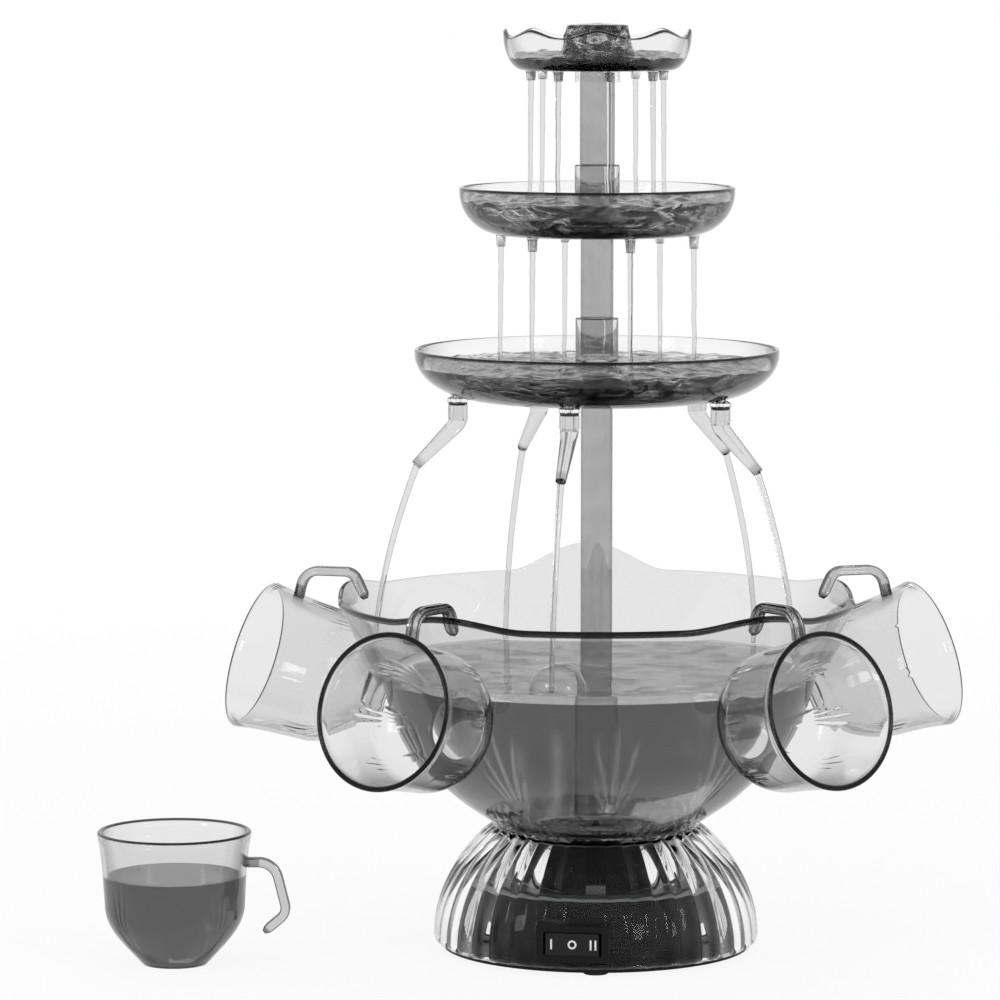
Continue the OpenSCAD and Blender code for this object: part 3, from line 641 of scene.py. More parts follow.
def make_bowl():
    foot_angle = math.degrees(math.asin(BOWL_FOOT / BOWL_CURVE))
    floor_angle = math.degrees(math.asin(bowl_floor_r / bowl_inner))
    outer = bowl_round(BOWL_CURVE, foot_angle, 90 - BOWL_LEAN, steps=64)
    inner = bowl_round(bowl_inner, 90 - BOWL_LEAN, floor_angle, steps=30)
    along = Vector((sin(BOWL_LEAN), cos(BOWL_LEAN)))
    across = Vector((-cos(BOWL_LEAN), sin(BOWL_LEAN)))
    top = Vector((BOWL_RIM, rim_z)) - along * RIM_BEAD * BEAD_SINK_SHARE
    bead_middle = top + across * BOWL_WALL / 2
    bead = []
    for a in spread(0, 180, steps=10):
        bead.append(tuple(bead_middle - across * RIM_BEAD * cos(a) + along * RIM_BEAD * sin(a)))
    wall_out = straight(outer[-1], top, BOWL_WALL_STEPS)[1:-1]
    rim_band = [tuple(top - along * depth) for depth in BAND_DEPTHS]
    wall_in = straight(top + across * BOWL_WALL, inner[0], BOWL_WALL_STEPS)[1:]
    outside = [(0, bowl_foot_z)] + outer + wall_out + rim_band + bead
    outline = outside + wall_in + inner[1:] + [(0, bowl_floor_z)]
    carved = 1 + len(outer) + CARVED_WALL_ROWS
    cuts = [0]

    def shift(bearing, index):
        radius, height = outline[index]
        lift = hump(bearing) * smooth_step((height - lean_z) / (rim_z - lean_z))
        share = spray_share(BOWL_FANS, bearing, radius, height) if 1 < index < carved else 0
        ribs = rib_cut(bearing, height) if 1 < index < carved else 0
        cuts.append(share)
        return lift * tan(BOWL_LEAN) - CUT_DEPTH * share - ribs, lift

    shape = lathe(outline, BOWL_TURNS, shift)
    cuts.append(0)
    # Painted shade on the rim's band and on the outside of its bead.
    dark = {p: 1.0 for p in rim_band[1:] + bead[:BEAD_SHADE_POINTS]}
    make_clear("bowl_clear", shape, bowl_plastic, "bowl", "bowl", sharp=50, cut=cuts,
               rim=ring_marks(outline, BOWL_TURNS, dark))


# Base shell: a fluted dome with a deck that carries the bowl

DOME_STEPS = 26
TURNS_PER_FLUTE = 16
FLUTE_FADE_ROWS = 3


def make_base_shell():
    base_r = half_width("base_shell")
    bottom, top = low_z("base_shell"), high_z("base_shell")
    belly = bottom + BASE_EDGE
    deck = low_z("bowl_gasket")
    shares = [sin(90 * k / DOME_STEPS) for k in range(DOME_STEPS)]

    def dome(foot, neck, height):
        radii = [neck + (foot - neck) * (1 - s * s) ** DOME_POWER for s in shares]
        return [(radius, belly + (height - belly) * s) for radius, s in zip(radii, shares)]

    inner_foot = base_r - BASE_WALL - FLUTE_DEPTH
    inner_neck = BASE_NECK - BASE_WALL - FLUTE_DEPTH
    edge = arc((base_r - BASE_EDGE, belly), BASE_EDGE, -90, -10, steps=8)
    outside = dome(base_r, BASE_NECK, top)
    inside = dome(inner_foot, inner_neck, deck - BASE_WALL)[::-1]
    neck_in = BASE_NECK - BASE_WALL
    collar = [(BASE_NECK, top), (neck_in, top), (neck_in, deck), (BASE_DECK_BORE, deck)]
    under = [(BASE_DECK_BORE, deck - BASE_WALL), (inner_neck, deck - BASE_WALL)]
    outline = edge + outside + collar + under + inside + [(inner_foot, bottom)]
    fluted = len(edge) + len(outside)

    def shift(bearing, index):
        if index >= fluted:
            return 0, 0
        weight = smooth_step((fluted - index) / FLUTE_FADE_ROWS)
        return -weight * FLUTE_DEPTH * (1 - abs(cos(bearing * FLUTES / 2))), 0

    shape = lathe(outline, FLUTES * TURNS_PER_FLUTE, shift)
    make_clear("base_shell_clear", shape, base_plastic, "base", "base_shell", sharp=50)


# Trays, with their nozzles and tubes

TRAY_STEPS = 20
LIP_SHADE_POINTS = 5
HUB_FILLET = 2 * MM
HUB_ROUND = 0.8 * MM
NOZZLE = 2.5 * MM
NOZZLE_BORE = 1.5 * MM
NOZZLE_ROOT = 0.5 * MM
NOZZLE_ROOT_HEIGHT = 1.2 * MM
NOZZLE_TAPER = 0.3 * MM
NOZZLE_END = 0.8 * MM
NOZZLE_END_SHADE = 0.7
LOWER_TURNS = 240
MIDDLE_TURNS = 200
CROWN_TURNS = 240
SCALLOP_FOOT = 6 * MM
SCALLOP_POWER = 1.6

Nozzles = namedtuple("Nozzles", "count first place length")
CROWN_NOZZLES = Nozzles(count=CROWN_LOBES, first=10, place=33.5 * MM, length=5 * MM)
MIDDLE_NOZZLES = Nozzles(count=6, first=19.5, place=49 * MM, length=6.5 * MM)

# Boss under the lower tray for each spout, and the plug that the spout turns on
BOSS_DROP = 1 * MM
BOSS_TOP = 4 * MM
BOSS_SHOULDER = 2 * MM
BOSS_R = SPOUT_R + 0.3 * MM
PLUG_R = 3.2 * MM
PLUG_BORE = 1.8 * MM
PLUG_LENGTH = 9 * MM

Tray = namedtuple("Tray", "flat rim bottom top hub body")
lower_bottom = low_z("middle_tube") - LOWER_SOCKET
middle_bottom = low_z("middle_tray") + MIDDLE_NOZZLES.length
lower = Tray(LOWER_FLAT, half_width("lower_tray"), lower_bottom, lower_bottom + LOWER_HEIGHT,
             MIDDLE_TUBE + SOCKET_WALL, "tower")
middle = Tray(MIDDLE_FLAT, half_width("middle_tray"), middle_bottom, middle_bottom + MIDDLE_HEIGHT,
              UPPER_TUBE + SOCKET_WALL, "middle_tier")
crown = Tray(CROWN_FLAT, half_width("crown_tray"), low_z("crown_tray") + CROWN_HUB_DROP, high_z("crown_tray"),
             UPPER_TUBE + SOCKET_WALL, "crown")


def tray_curve(flat, rim, height, bottom, steps):
    return [(flat + (rim - flat) * sin(a), bottom + height * (1 - cos(a))) for a in spread(0, 90, steps)]


def tray_inside(tray, steps):
    height = tray.top - tray.bottom - TRAY_WALL
    return tray_curve(tray.flat - TRAY_WALL / 2, tray.rim - TRAY_WALL, height, tray.bottom + TRAY_WALL, steps)


def tray_lip(tray):
    bead = TRAY_WALL / 2
    return arc((tray.rim - bead, tray.top - bead), bead, 0, 180, steps=8)


def tray_outline(tray, hub_bottom, hub_top, bores):
    """A dish with a hub in its middle. bores are the hub's (radius, height) points from its top down."""
    outer = tray_curve(tray.flat, tray.rim, tray.top - tray.bottom - TRAY_WALL, tray.bottom, TRAY_STEPS)
    inner = tray_inside(tray, TRAY_STEPS)
    fillet = arc((tray.hub + HUB_FILLET, tray.bottom + TRAY_WALL + HUB_FILLET), HUB_FILLET, 270, 180, steps=5)
    edge = arc((tray.hub - HUB_ROUND, hub_top - HUB_ROUND), HUB_ROUND, 0, 90, steps=4)
    skirt = [(tray.hub, hub_bottom), (tray.hub, tray.bottom)] if hub_bottom < tray.bottom else []
    return skirt + outer + tray_lip(tray) + inner[::-1][1:] + fillet + edge + bores


def tray_marks(tray, outline, turns, extras, tip=0):
    """Marks of the painted shade on the outside of a tray's rim, and on those extras that end at the height
    tip.
    """
    marks = ring_marks(outline, turns, {p: 1.0 for p in tray_lip(tray)[:LIP_SHADE_POINTS]})
    for shape in extras:
        marks += marked(shape, lambda p: NOZZLE_END_SHADE if p.z < tip + NOZZLE_END else 0.0)
    return marks


def hub_bores(above, below, top, step, bottom):
    """Sockets for the tube above and the tube below, with a step between them."""
    return [
        (above + FIT, top),
        (above + FIT, step),
        (below - TUBE_WALL, step),
        (below - TUBE_WALL, step - STEP),
        (below + FIT, step - STEP),
        (below + FIT, bottom),
    ]


def nozzle_ring(nozzles, top):
    outline = [
        (NOZZLE_BORE, top - TOUCH),
        (NOZZLE + NOZZLE_ROOT, top - TOUCH),
        (NOZZLE, top - NOZZLE_ROOT_HEIGHT),
        (NOZZLE - NOZZLE_TAPER, top - nozzles.length),
        (NOZZLE_BORE, top - nozzles.length),
    ]
    single = lathe(outline, turns=24)
    places = [at_bearing(nozzle_bearing(nozzles, i), nozzles.place, 0) for i in range(nozzles.count)]
    return [moved_by(single, place) for place in places]


def nozzle_bearing(nozzles, number):
    return nozzles.first + FULL_TURN * number / nozzles.count


def spout_bearing(number):
    return SPOUT_BEARING + FULL_TURN * number / SPOUTS


def make_lower_tray():
    top = high_z("lower_tray")
    bores = hub_bores(MIDDLE_TUBE, LOWER_TUBE, top, low_z("middle_tube"), lower.bottom)
    outline = tray_outline(lower, lower.bottom, top, bores)
    boss_z = lower.bottom - BOSS_DROP
    boss = [
        (SPOUT_BORE, boss_z + BOSS_TOP - TOUCH),
        (BOSS_R, boss_z + BOSS_SHOULDER),
        (BOSS_R, boss_z),
        (PLUG_R, boss_z),
        (PLUG_R, boss_z - PLUG_LENGTH),
        (PLUG_BORE, boss_z - PLUG_LENGTH),
    ]
    single = lathe(boss, turns=32)
    places = [at_bearing(spout_bearing(number), SPOUT_PLACE, 0) for number in range(SPOUTS)]
    bosses = [moved_by(single, place) for place in places]
    shape = joined([lathe(outline, LOWER_TURNS)] + bosses)
    make_clear("lower_tray_clear", shape, clear, "tower", "lower_tray",
               rim=tray_marks(lower, outline, LOWER_TURNS, bosses))


def make_middle_tray():
    top = high_z("middle_tray")
    bores = hub_bores(UPPER_TUBE, MIDDLE_TUBE, top, low_z("upper_tube"), middle.bottom)
    outline = tray_outline(middle, middle.bottom, top, bores)
    nozzles = nozzle_ring(MIDDLE_NOZZLES, middle.bottom)
    shape = joined([lathe(outline, MIDDLE_TURNS)] + nozzles)
    make_clear("middle_tray_clear", shape, clear, "middle_tier", "middle_tray",
               rim=tray_marks(middle, outline, MIDDLE_TURNS, nozzles, low_z("middle_tray")))


def make_crown():
    hub_bottom = low_z("crown_tray")
    hub_top = crown.bottom + 3 * STEP
    step = high_z("upper_tube")
    bores = [
        (UPPER_TUBE - TUBE_WALL, hub_top),
        (UPPER_TUBE - TUBE_WALL, step),
        (UPPER_TUBE + FIT, step),
        (UPPER_TUBE + FIT, hub_bottom),
    ]
    outline = tray_outline(crown, hub_bottom, hub_top, bores)
    floor = crown.bottom + SCALLOP_FOOT

    def shift(bearing, index):
        radius, height = outline[index]
        if radius < CROWN_FLAT or height < floor:
            return 0, 0
        share = (height - floor) / (crown.top - floor)
        dip = abs(sin(bearing * CROWN_LOBES / 2)) ** SCALLOP_POWER
        return 0, -CROWN_SCALLOP * dip * share * share

    nozzles = nozzle_ring(CROWN_NOZZLES, crown.bottom)
    tip = crown.bottom - CROWN_NOZZLES.length
    shape = joined([lathe(outline, CROWN_TURNS, shift)] + nozzles)
    make_clear("crown_clear", shape, clear, "crown", "crown_tray",
               rim=tray_marks(crown, outline, CROWN_TURNS, nozzles, tip))


def make_tubes():
    for node, (radius, body) in TUBES.items():
        heights = spread(low_z(node), high_z(node), steps=12)
        outline = [(radius, z) for z in heights] + [(radius - TUBE_WALL, z) for z in heights[::-1]]
        make_clear(node + "_clear", lathe(outline, turns=64), clear, body, node)


# Spouts: a sleeve, an elbow and a slanted nozzle as one smooth solid rod, because the drink fills their bores

SLEEVE_STEPS = 5
SPOUT_SIDES = 32
SPOUT_SHADE_RINGS = 2
SPOUT_END_SHADE = 0.6


def spout_elbow(node):
    return high_z(node) - SLEEVE_HEIGHT - ELBOW_DROP


def spout_path(top, elbow):
    down = [Vector((0, 0, z)) for z in spread(top, elbow + SPOUT_BEND, SLEEVE_STEPS)]
    out = Vector((0, -sin(SPOUT_SLANT), -cos(SPOUT_SLANT)))
    centre = Vector((0, 0, elbow))
    start = centre + Vector((0, 0, SPOUT_BEND))
    end = centre + out * SPOUT_BEND
    bend = []
    for k in spread(0, 1, steps=6)[1:]:
        bend.append((1 - k) ** 2 * start + 2 * (1 - k) * k * centre + k * k * end)
    slanted = [centre + out * d for d in spread(SPOUT_BEND, SPOUT_LENGTH, steps=10)][1:]
    return down + bend + slanted


def make_spouts():
    for number in range(SPOUTS):
        node = "spout_%d" % (number + 1)
        path = spout_path(high_z(node), spout_elbow(node))
        sleeve = SLEEVE_STEPS + 1
        tapered = spread(SPOUT_R, SPOUT_TIP, len(path) - sleeve)[1:]
        shape = tube_along(path, [SPOUT_R] * sleeve + tapered, SPOUT_SIDES)
        # Painted shade on the last rings at the spout's end.
        dark = SPOUT_SHADE_RINGS * SPOUT_SIDES
        marks = [0.0] * (len(shape[0]) - dark) + [SPOUT_END_SHADE] * dark
        bearing = spout_bearing(number)
        place = Matrix.Translation(at_bearing(bearing, SPOUT_PLACE, 0)) @ facing(bearing)
        make_clear(node + "_clear", moved(shape, place), spout_plastic, node, node, rim=marks)


# Cups. The handle of a hanging cup ends inside the bowl's wall, and its foot lies just outside the wall.

CUP_TURNS = 288
CUP_BEAD_RUN = 2.5
HANDLE_SIDES = 40
HANDLE_SQUARENESS = 0.85
HANDLE_SINK = 0.2 * MM
HANDLE_STUB = 2 * MM
HANDLE_END_SHARES = (0.45, 0.86, 0.98)
HANDLE_ROOT_SHARE = 1.2
HANDLE_SHADE = 0.8
HANDLE_SHADE_RINGS = 3
GROOVE_SHARE = 0.22
GROOVE_WIDTH = 0.6

wall_turn = BOWL_LEAN + CUP_TILT
wall_in = CUP_FOOT * sin(wall_turn) + REST_GAP + BOWL_WALL
leg_middle = wall_in + REST_GAP + HANDLE_THICK / 2
handle_x = HANDLE_REACH - HANDLE_THICK / 2
end_z = (HANDLE_END * sin(wall_turn) - leg_middle) / cos(wall_turn)
seat_x = HANDLE_REACH - HANDLE_THICK - SEAT_GAP
seat_z = (seat_x * sin(wall_turn) - wall_in) / cos(wall_turn)
hang_r = peak_r - rim_level - seat_z * cos(CUP_TILT) + seat_x * sin(CUP_TILT)
hang_z = peak_z - seat_z * sin(CUP_TILT) - seat_x * cos(CUP_TILT)


def cup_side(inset, bottom, steps):
    rise = CUP_BELLY_Z - bottom
    round_part = bezier(
        (CUP_FOOT - inset, bottom),
        (CUP_FOOT + (CUP_BELLY - CUP_FOOT) * CUP_TAPER - inset, bottom + rise * (1 - CUP_TAPER)),
        (CUP_BELLY - inset, CUP_BELLY_Z * CUP_TAPER),
        (CUP_BELLY - inset, CUP_BELLY_Z),
        steps,
    )
    flare = bezier(
        (CUP_BELLY - inset, CUP_BELLY_Z),
        (CUP_LIP - inset, CUP_LIP_Z - CUP_LIP_EASE),
        (CUP_LIP - inset, CUP_LIP_Z),
        (CUP_MOUTH - inset, CUP_HEIGHT - CUP_WALL / 2),
        steps,
    )
    return round_part + flare[1:]


def handle_line():
    """Points of the handle's middle line, each with the direction that faces away from the cup."""
    turn_x = handle_x - HANDLE_TURN
    turn_z = (turn_x * sin(wall_turn) + HANDLE_TURN - leg_middle) / cos(wall_turn)
    bend_z = HANDLE_TOP - HANDLE_BEND
    strap_run = turn_x * cos(STRAP_LEAN) + (turn_z - bend_z) * sin(STRAP_LEAN)
    bend_x = (strap_run + HANDLE_TURN - HANDLE_BEND) / cos(STRAP_LEAN)
    line = [(CUP_LIP - HANDLE_SINK, HANDLE_TOP, 90), (CUP_LIP + HANDLE_STUB, HANDLE_TOP, 90)]
    for a in spread(90, STRAP_LEAN, steps=12):
        line.append((bend_x + HANDLE_BEND * cos(a), bend_z + HANDLE_BEND * sin(a), a))
    for a in spread(STRAP_LEAN, wall_turn - 90, steps=10):
        line.append((turn_x + HANDLE_TURN * cos(a), turn_z + HANDLE_TURN * sin(a), a))
    last = line[-1]
    for k in spread(0, 1, steps=6)[1:]:
        line.append((last[0] + (HANDLE_END - last[0]) * k, last[1] + (end_z - last[1]) * k, wall_turn - 90))
    return line


def squarish(value):
    return math.copysign(abs(value) ** HANDLE_SQUARENESS, value)


def handle_shape():
    """A bar with a shallow groove along each of its four sides."""
    points = []
    rings = []
    line = handle_line()
    for index, (x, z, away) in enumerate(line):
        from_end = len(line) - 1 - index
        fade = HANDLE_END_SHARES[from_end] if from_end < len(HANDLE_END_SHARES) else 1
        if index == 0:
            fade = HANDLE_ROOT_SHARE
        ring = []
        for step in range(HANDLE_SIDES):
            a = FULL_TURN * step / HANDLE_SIDES
            groove = 1 - GROOVE_SHARE * math.exp(-(sin(2 * a) / GROOVE_WIDTH) ** 2)
            u = squarish(cos(a)) * HANDLE_THICK / 2 * min(fade, 1) * groove
            v = squarish(sin(a)) * HANDLE_WIDE / 2 * fade * groove
            ring.append(len(points))
            points.append(Vector((x + u * cos(away), v, z + u * sin(away))))
        rings.append(ring)
    return points, bar_faces(rings)


def cup_shape():
    """A cup that stands on the origin, with the marks of its cut leaves, and of the painted shade on its rim
    and its handle.
    """
    outer = cup_side(0, 0, steps=26)
    bead = (CUP_MOUTH - CUP_BEAD, CUP_HEIGHT - CUP_BEAD)
    lip = arc(bead, CUP_BEAD, start=0, end=200, steps=10)
    painted_shade_lip = lip[1:9]
    below_lip = CUP_HEIGHT - CUP_BEAD_RUN * CUP_BEAD
    inner = [p for p in cup_side(CUP_WALL, CUP_FLOOR, steps=20) if p[1] < below_lip][::-1]
    outline = [(0, 0)] + [p for p in outer if p[1] < bead[1]] + lip + inner + [(0, CUP_FLOOR)]
    carved = 1 + len(outer)
    cuts = [0]

    def shift(bearing, index):
        radius, height = outline[index]
        share = spray_share(CUP_LEAVES, bearing, radius, height) if 1 < index < carved else 0
        cuts.append(share)
        return -CUT_DEPTH * share, 0

    round_part = lathe(outline, CUP_TURNS, shift)
    cuts.append(0)
    handle = handle_shape()
    size = len(handle[0])
    # Painted shade at the handle's root and at its end.
    root = [HANDLE_SHADE] * (HANDLE_SHADE_RINGS * HANDLE_SIDES)
    end = [HANDLE_SHADE] * ((HANDLE_SHADE_RINGS - 1) * HANDLE_SIDES)
    marks = {
        "cut": cuts + [0.0] * size,
        "rim": ring_marks(outline, CUP_TURNS, {p: 1.0 for p in painted_shade_lip}) + root
        + [0.0] * (size - len(root) - len(end)) + end,
        # The handle's sides get painted shade.
        "thick_shade": [0.0] * len(round_part[0]) + [1.0] * size,
    }
    return joined([round_part, handle]), marks


def hanging_matrix(bearing):
    s, c = sin(CUP_TILT), cos(CUP_TILT)
    tilt = Matrix(((0, -1, 0, 0), (s, 0, -c, 0), (c, 0, s, 0), (0, 0, 0, 1)))
    return facing(bearing) @ Matrix.Translation((0, -hang_r, hang_z)) @ tilt


def standing_place():
    low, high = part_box("cup_5")
    return Vector((low[0] + CUP_MOUTH, (low[1] + high[1]) / 2, low[2]))


def make_cups():
    shape, marks = cup_shape()
    places = {"cup_5": Matrix.Translation(standing_place())}
    for number in range(1, HANGING_CUPS + 1):
        bearing = RIM_BEARING + FULL_TURN / HUMP_COUNT * (number - (HANGING_CUPS + 1) / 2)
        places["cup_%d" % number] = hanging_matrix(bearing)
    for node, place in places.items():
        make_clear(node + "_clear", moved(shape, place), cup_plastic, node, node, sharp=45, **marks)


# The drink in the bowl, the tubes and the standing cup

CALM_EDGE = 6 * MM
# Depth of the clear layer on top of the drink in the bowl
SURFACE_LAYER = 4.5 * MM
# Painted light in the drink in the bowl, which makes it paler: below a height, mostly at both sides, and
# behind the cut leaves
PAINTED_LIGHT_TOP = 105 * MM
PAINTED_LIGHT_MIDDLE = 0.2
PAINTED_LIGHT_SIDES = 0.7
PAINTED_LIGHT_LEFT_SHARE = 0.6
PAINTED_LIGHT_ASIDE = 0.6
PAINTED_LIGHT_SPREAD = 0.32
PAINTED_LIGHT_FANS = 0.4
TUBE_PALE_FADE = 3 * MM
BUBBLE = 14 * MM
BUBBLE_WALL = 0.35 * MM
BUBBLE_PLACE = 97 * MM
BUBBLE_STEPS = 20


def wavy(radius, height, bearing, size, length):
    return size * noise.noise(at_bearing(bearing, radius, height) / length)


def filled(below, level, turns, waves, length):
    """A liquid that fills a round vessel up to a level. below runs from its floor's middle to the level."""
    edge = below[-1][0]
    outline = below + [(edge * k, level) for k in spread(1, 0, steps=28)][1:]

    def shift(bearing, index):
        radius, height = outline[index]
        if index < len(below):
            return 0, 0
        return 0, smooth_step((edge - radius) / CALM_EDGE) * wavy(radius, height, bearing, waves, length)

    return lathe(outline, turns, shift, closed=False)


def bowl_layer(bottom, level, waves, turns):
    heights = spread(bottom, level, steps=60)
    below = [(0, heights[0])] + [(bowl_inner_radius(z) + SOAK, z) for z in heights]
    return filled(below, level, turns, waves, length=14 * MM)


def drink_painted_light(point):
    """Painted light: paler near the foot, most of all at the sides, and behind the bowl's cut leaves."""
    radius = math.hypot(point.x, point.y)
    if radius < AXIS_R:
        return 0.0
    low = smooth_step((PAINTED_LIGHT_TOP - point.z) / (PAINTED_LIGHT_TOP - bowl_floor_z))
    aside = point.x / radius
    right = math.exp(-((aside - PAINTED_LIGHT_ASIDE) / PAINTED_LIGHT_SPREAD) ** 2)
    left = math.exp(-((aside + PAINTED_LIGHT_ASIDE) / PAINTED_LIGHT_SPREAD) ** 2)
    bearing = math.degrees(math.atan2(point.x, -point.y))
    fans = PAINTED_LIGHT_FANS * spray_share(BOWL_FANS, bearing, radius, point.z)
    return low * (PAINTED_LIGHT_MIDDLE + PAINTED_LIGHT_SIDES * (right + PAINTED_LIGHT_LEFT_SHARE * left)) + fans


def make_bowl_drink():
    """The dark drink, and the clear layer that its front edge shows."""
    top = DRINK_LEVEL - SURFACE_LAYER
    shape = bowl_layer(bowl_floor_z - SOAK, top, waves=0.2 * MM, turns=720)
    # The mark carries the painted light in the bowl's drink.
    make_piece("bowl_drink", shape, bowl_drink, "bowl", deep=marked(shape, drink_painted_light))
    layer = bowl_layer(top + TOUCH, DRINK_LEVEL, waves=0.3 * MM, turns=160)
    make_piece("bowl_drink_top", layer, surface_drink, "bowl")


def make_tube_drink():
    """The drink that rises in the tubes."""
    for node, (radius, body) in TUBES.items():
        inside = radius - TUBE_WALL + SOAK
        heights = spread(low_z(node) + TOUCH, high_z(node) - TOUCH, steps=30)
        outline = [(0, heights[0])] + [(inside, z) for z in heights] + [(0, heights[-1])]
        shape = lathe(outline, turns=40, closed=False)
        sunk = marked(shape, lambda p: smooth_step((DRINK_LEVEL - p.z) / TUBE_PALE_FADE))
        make_piece(node + "_drink", shape, tube_drink, body, deep=sunk)


def make_bubble():
    """The bubble where the front stream meets the drink in the bowl."""
    outer = arc((0, DRINK_LEVEL), BUBBLE, 0, 90, BUBBLE_STEPS)
    inner = arc((0, DRINK_LEVEL), BUBBLE - BUBBLE_WALL, 90, 0, BUBBLE_STEPS)
    dome = lathe(outer + inner, turns=64)
    make_piece("bubble_1", moved_by(dome, at_bearing(SPOUT_BEARING, BUBBLE_PLACE, 0)), bubble, "bowl")


def make_cup_drink():
    side = cup_side(CUP_WALL - SOAK, CUP_FLOOR - SOAK, steps=30)
    below = [(0, CUP_FLOOR - SOAK)] + [p for p in side if p[1] < CUP_DRINK]
    shape = filled(below, CUP_DRINK, turns=96, waves=0.1 * MM, length=10 * MM)
    make_piece("cup_drink", moved_by(shape, standing_place()), bowl_drink, "cup_5")


# The drink in the trays and over the flow cap

LOWER_DEPTH = 8 * MM
MIDDLE_DEPTH = 6.5 * MM
CROWN_DEPTH = 13.5 * MM
TRAY_DRINK_TURNS = 180
TRAY_DARK_TOP = 5 * MM
TRAY_DARK_FADE = 4 * MM
CAP_POOL = 14.5 * MM
CAP_SINK = 0.2 * MM
CAP_CROWN = 0.8 * MM
CAP_SKIRT = 19 * MM
CAP_BULGE = 1.5 * MM
CAP_BULGE_DROP = 1 * MM
CAP_FALL = 0.5 * MM
CAP_FALL_RISE = 3 * MM
CAP_CALM = 3 * MM


def make_tray_drink(name, tray, depth):
    """The drink in a tray, between its hub and its wall."""
    level = tray.top - depth
    inside = tray.hub - SOAK
    below = [(r + SOAK, z - SOAK) for r, z in tray_inside(tray, steps=40) if z < level]
    edge = below[-1][0]
    surface = [(r, level) for r in spread(edge, inside, steps=30)]
    floor = tray.bottom + TRAY_WALL
    wet = [(inside, floor - SOAK)] + below
    outline = wet + surface

    def shift(bearing, index):
        radius, height = outline[index]
        if index < len(wet):
            return 0, 0
        return 0, wavy(radius, height, bearing, size=1.3 * MM, length=7 * MM)

    under = {p: smooth_step((floor + TRAY_DARK_TOP - p[1]) / TRAY_DARK_FADE) for p in wet}
    make_piece(name, lathe(outline, TRAY_DRINK_TURNS, shift), tray_drink, tray.body,
               deep=ring_marks(outline, TRAY_DRINK_TURNS, under))


def make_crown_dome(level):
    """The drink that wells up over the flow cap and runs down to the crown's pool."""
    cap_r = half_width("flow_cap")
    top = high_z("flow_cap") - CAP_SINK
    crest = [(CAP_POOL * k, top - CAP_CROWN * k * k) for k in spread(0, 1, steps=10)]
    side = bezier(
        crest[-1],
        (cap_r + CAP_BULGE, top - CAP_BULGE_DROP),
        (cap_r + CAP_FALL, level + CAP_FALL_RISE),
        (CAP_SKIRT, level),
        steps=14,
    )
    outline = crest + side[1:] + [(0, level)]

    def shift(bearing, index):
        radius, height = outline[index]
        calm = smooth_step((top - height) / CAP_CALM)
        return calm * wavy(radius, height, bearing, size=1.6 * MM, length=5 * MM), 0

    make_piece("crown_dome", lathe(outline, turns=96, shift=shift, closed=False), tray_drink, "crown")


# The falling streams, each with a mesh of its own

STREAM_SIDES = 14
STREAM_TAPER = 0.25
DRIP_R = 1.4 * MM
DRIP_OVERLAP = 0.5 * MM
DRIP_DRIFT = 0.5 * MM
DRIP_WAVER = 0.5 * MM
DRIP_WAVERS = 6
DRIP_SWELL = 0.15
DRIP_SWELLS = 14
# How far the falls end below the rim of the tray beneath
CROWN_FALL_DEPTH = 7 * MM
MIDDLE_FALL_DEPTH = 8 * MM
SPOUT_STREAM_R = 1.7 * MM
SPOUT_STREAM_REACH = 22 * MM
SPOUT_STREAM_CURVE = 1.8
SPOUT_STREAM_SWELL = 0.12
SPOUT_STREAM_SWELLS = 12
SPOUT_STREAM_SINK = 1 * MM
SPOUT_SEED = 40


def falling(start, end, seed):
    """A thin straight stream that narrows and wavers a little."""
    path = []
    radii = []
    for k in spread(0, 1, steps=18):
        waver = Vector((noise.noise((seed, DRIP_WAVERS * k, 0)), noise.noise((seed, DRIP_WAVERS * k, 9)), 0))
        path.append(start.lerp(end, k) + waver * DRIP_WAVER * k)
        swell = 1 + DRIP_SWELL * noise.noise((seed, DRIP_SWELLS * k, 5))
        radii.append(DRIP_R * (1 - STREAM_TAPER * k) * swell)
    return tube_along(path, radii, STREAM_SIDES)


def make_falls(name, nozzles, tray, level, seed):
    """Streams from a tray's nozzles down to the level of the drink below."""
    for i in range(nozzles.count):
        bearing = nozzle_bearing(nozzles, i)
        start = at_bearing(bearing, nozzles.place, tray.bottom - nozzles.length + DRIP_OVERLAP)
        end = at_bearing(bearing, nozzles.place + DRIP_DRIFT, level - DRIP_OVERLAP)
        piece = make_piece("%s_%d" % (name, i + 1), falling(start, end, seed + i), stream, tray.body)
        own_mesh(piece)


def make_spout_streams():
    """Streams that leave the spouts along their slant and curve down into the bowl."""
    for number in range(SPOUTS):
        node = "spout_%d" % (number + 1)
        bearing = spout_bearing(number)
        tip_r = SPOUT_PLACE + SPOUT_LENGTH * sin(SPOUT_SLANT) - SPOUT_STREAM_SINK
        tip_z = spout_elbow(node) - SPOUT_LENGTH * cos(SPOUT_SLANT)
        drop = tip_z - DRINK_LEVEL
        path = []
        radii = []
        for k in spread(0, 1, steps=24):
            out = tip_r + SPOUT_STREAM_REACH * (1 - (1 - k) ** SPOUT_STREAM_CURVE)
            path.append(at_bearing(bearing, out, tip_z + SPOUT_STREAM_SINK - drop * k))
            swell = 1 + SPOUT_STREAM_SWELL * noise.noise((SPOUT_SEED + number, SPOUT_STREAM_SWELLS * k, 2))
            radii.append(SPOUT_STREAM_R * (1 - STREAM_TAPER * k) * swell)
        shape = tube_along(path, radii, STREAM_SIDES)
        piece = make_piece("spout_stream_%d" % (number + 1), shape, stream, node)
        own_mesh(piece)


# Switch marks: a bar, a ring and two bars, raised a little from the rocker's face

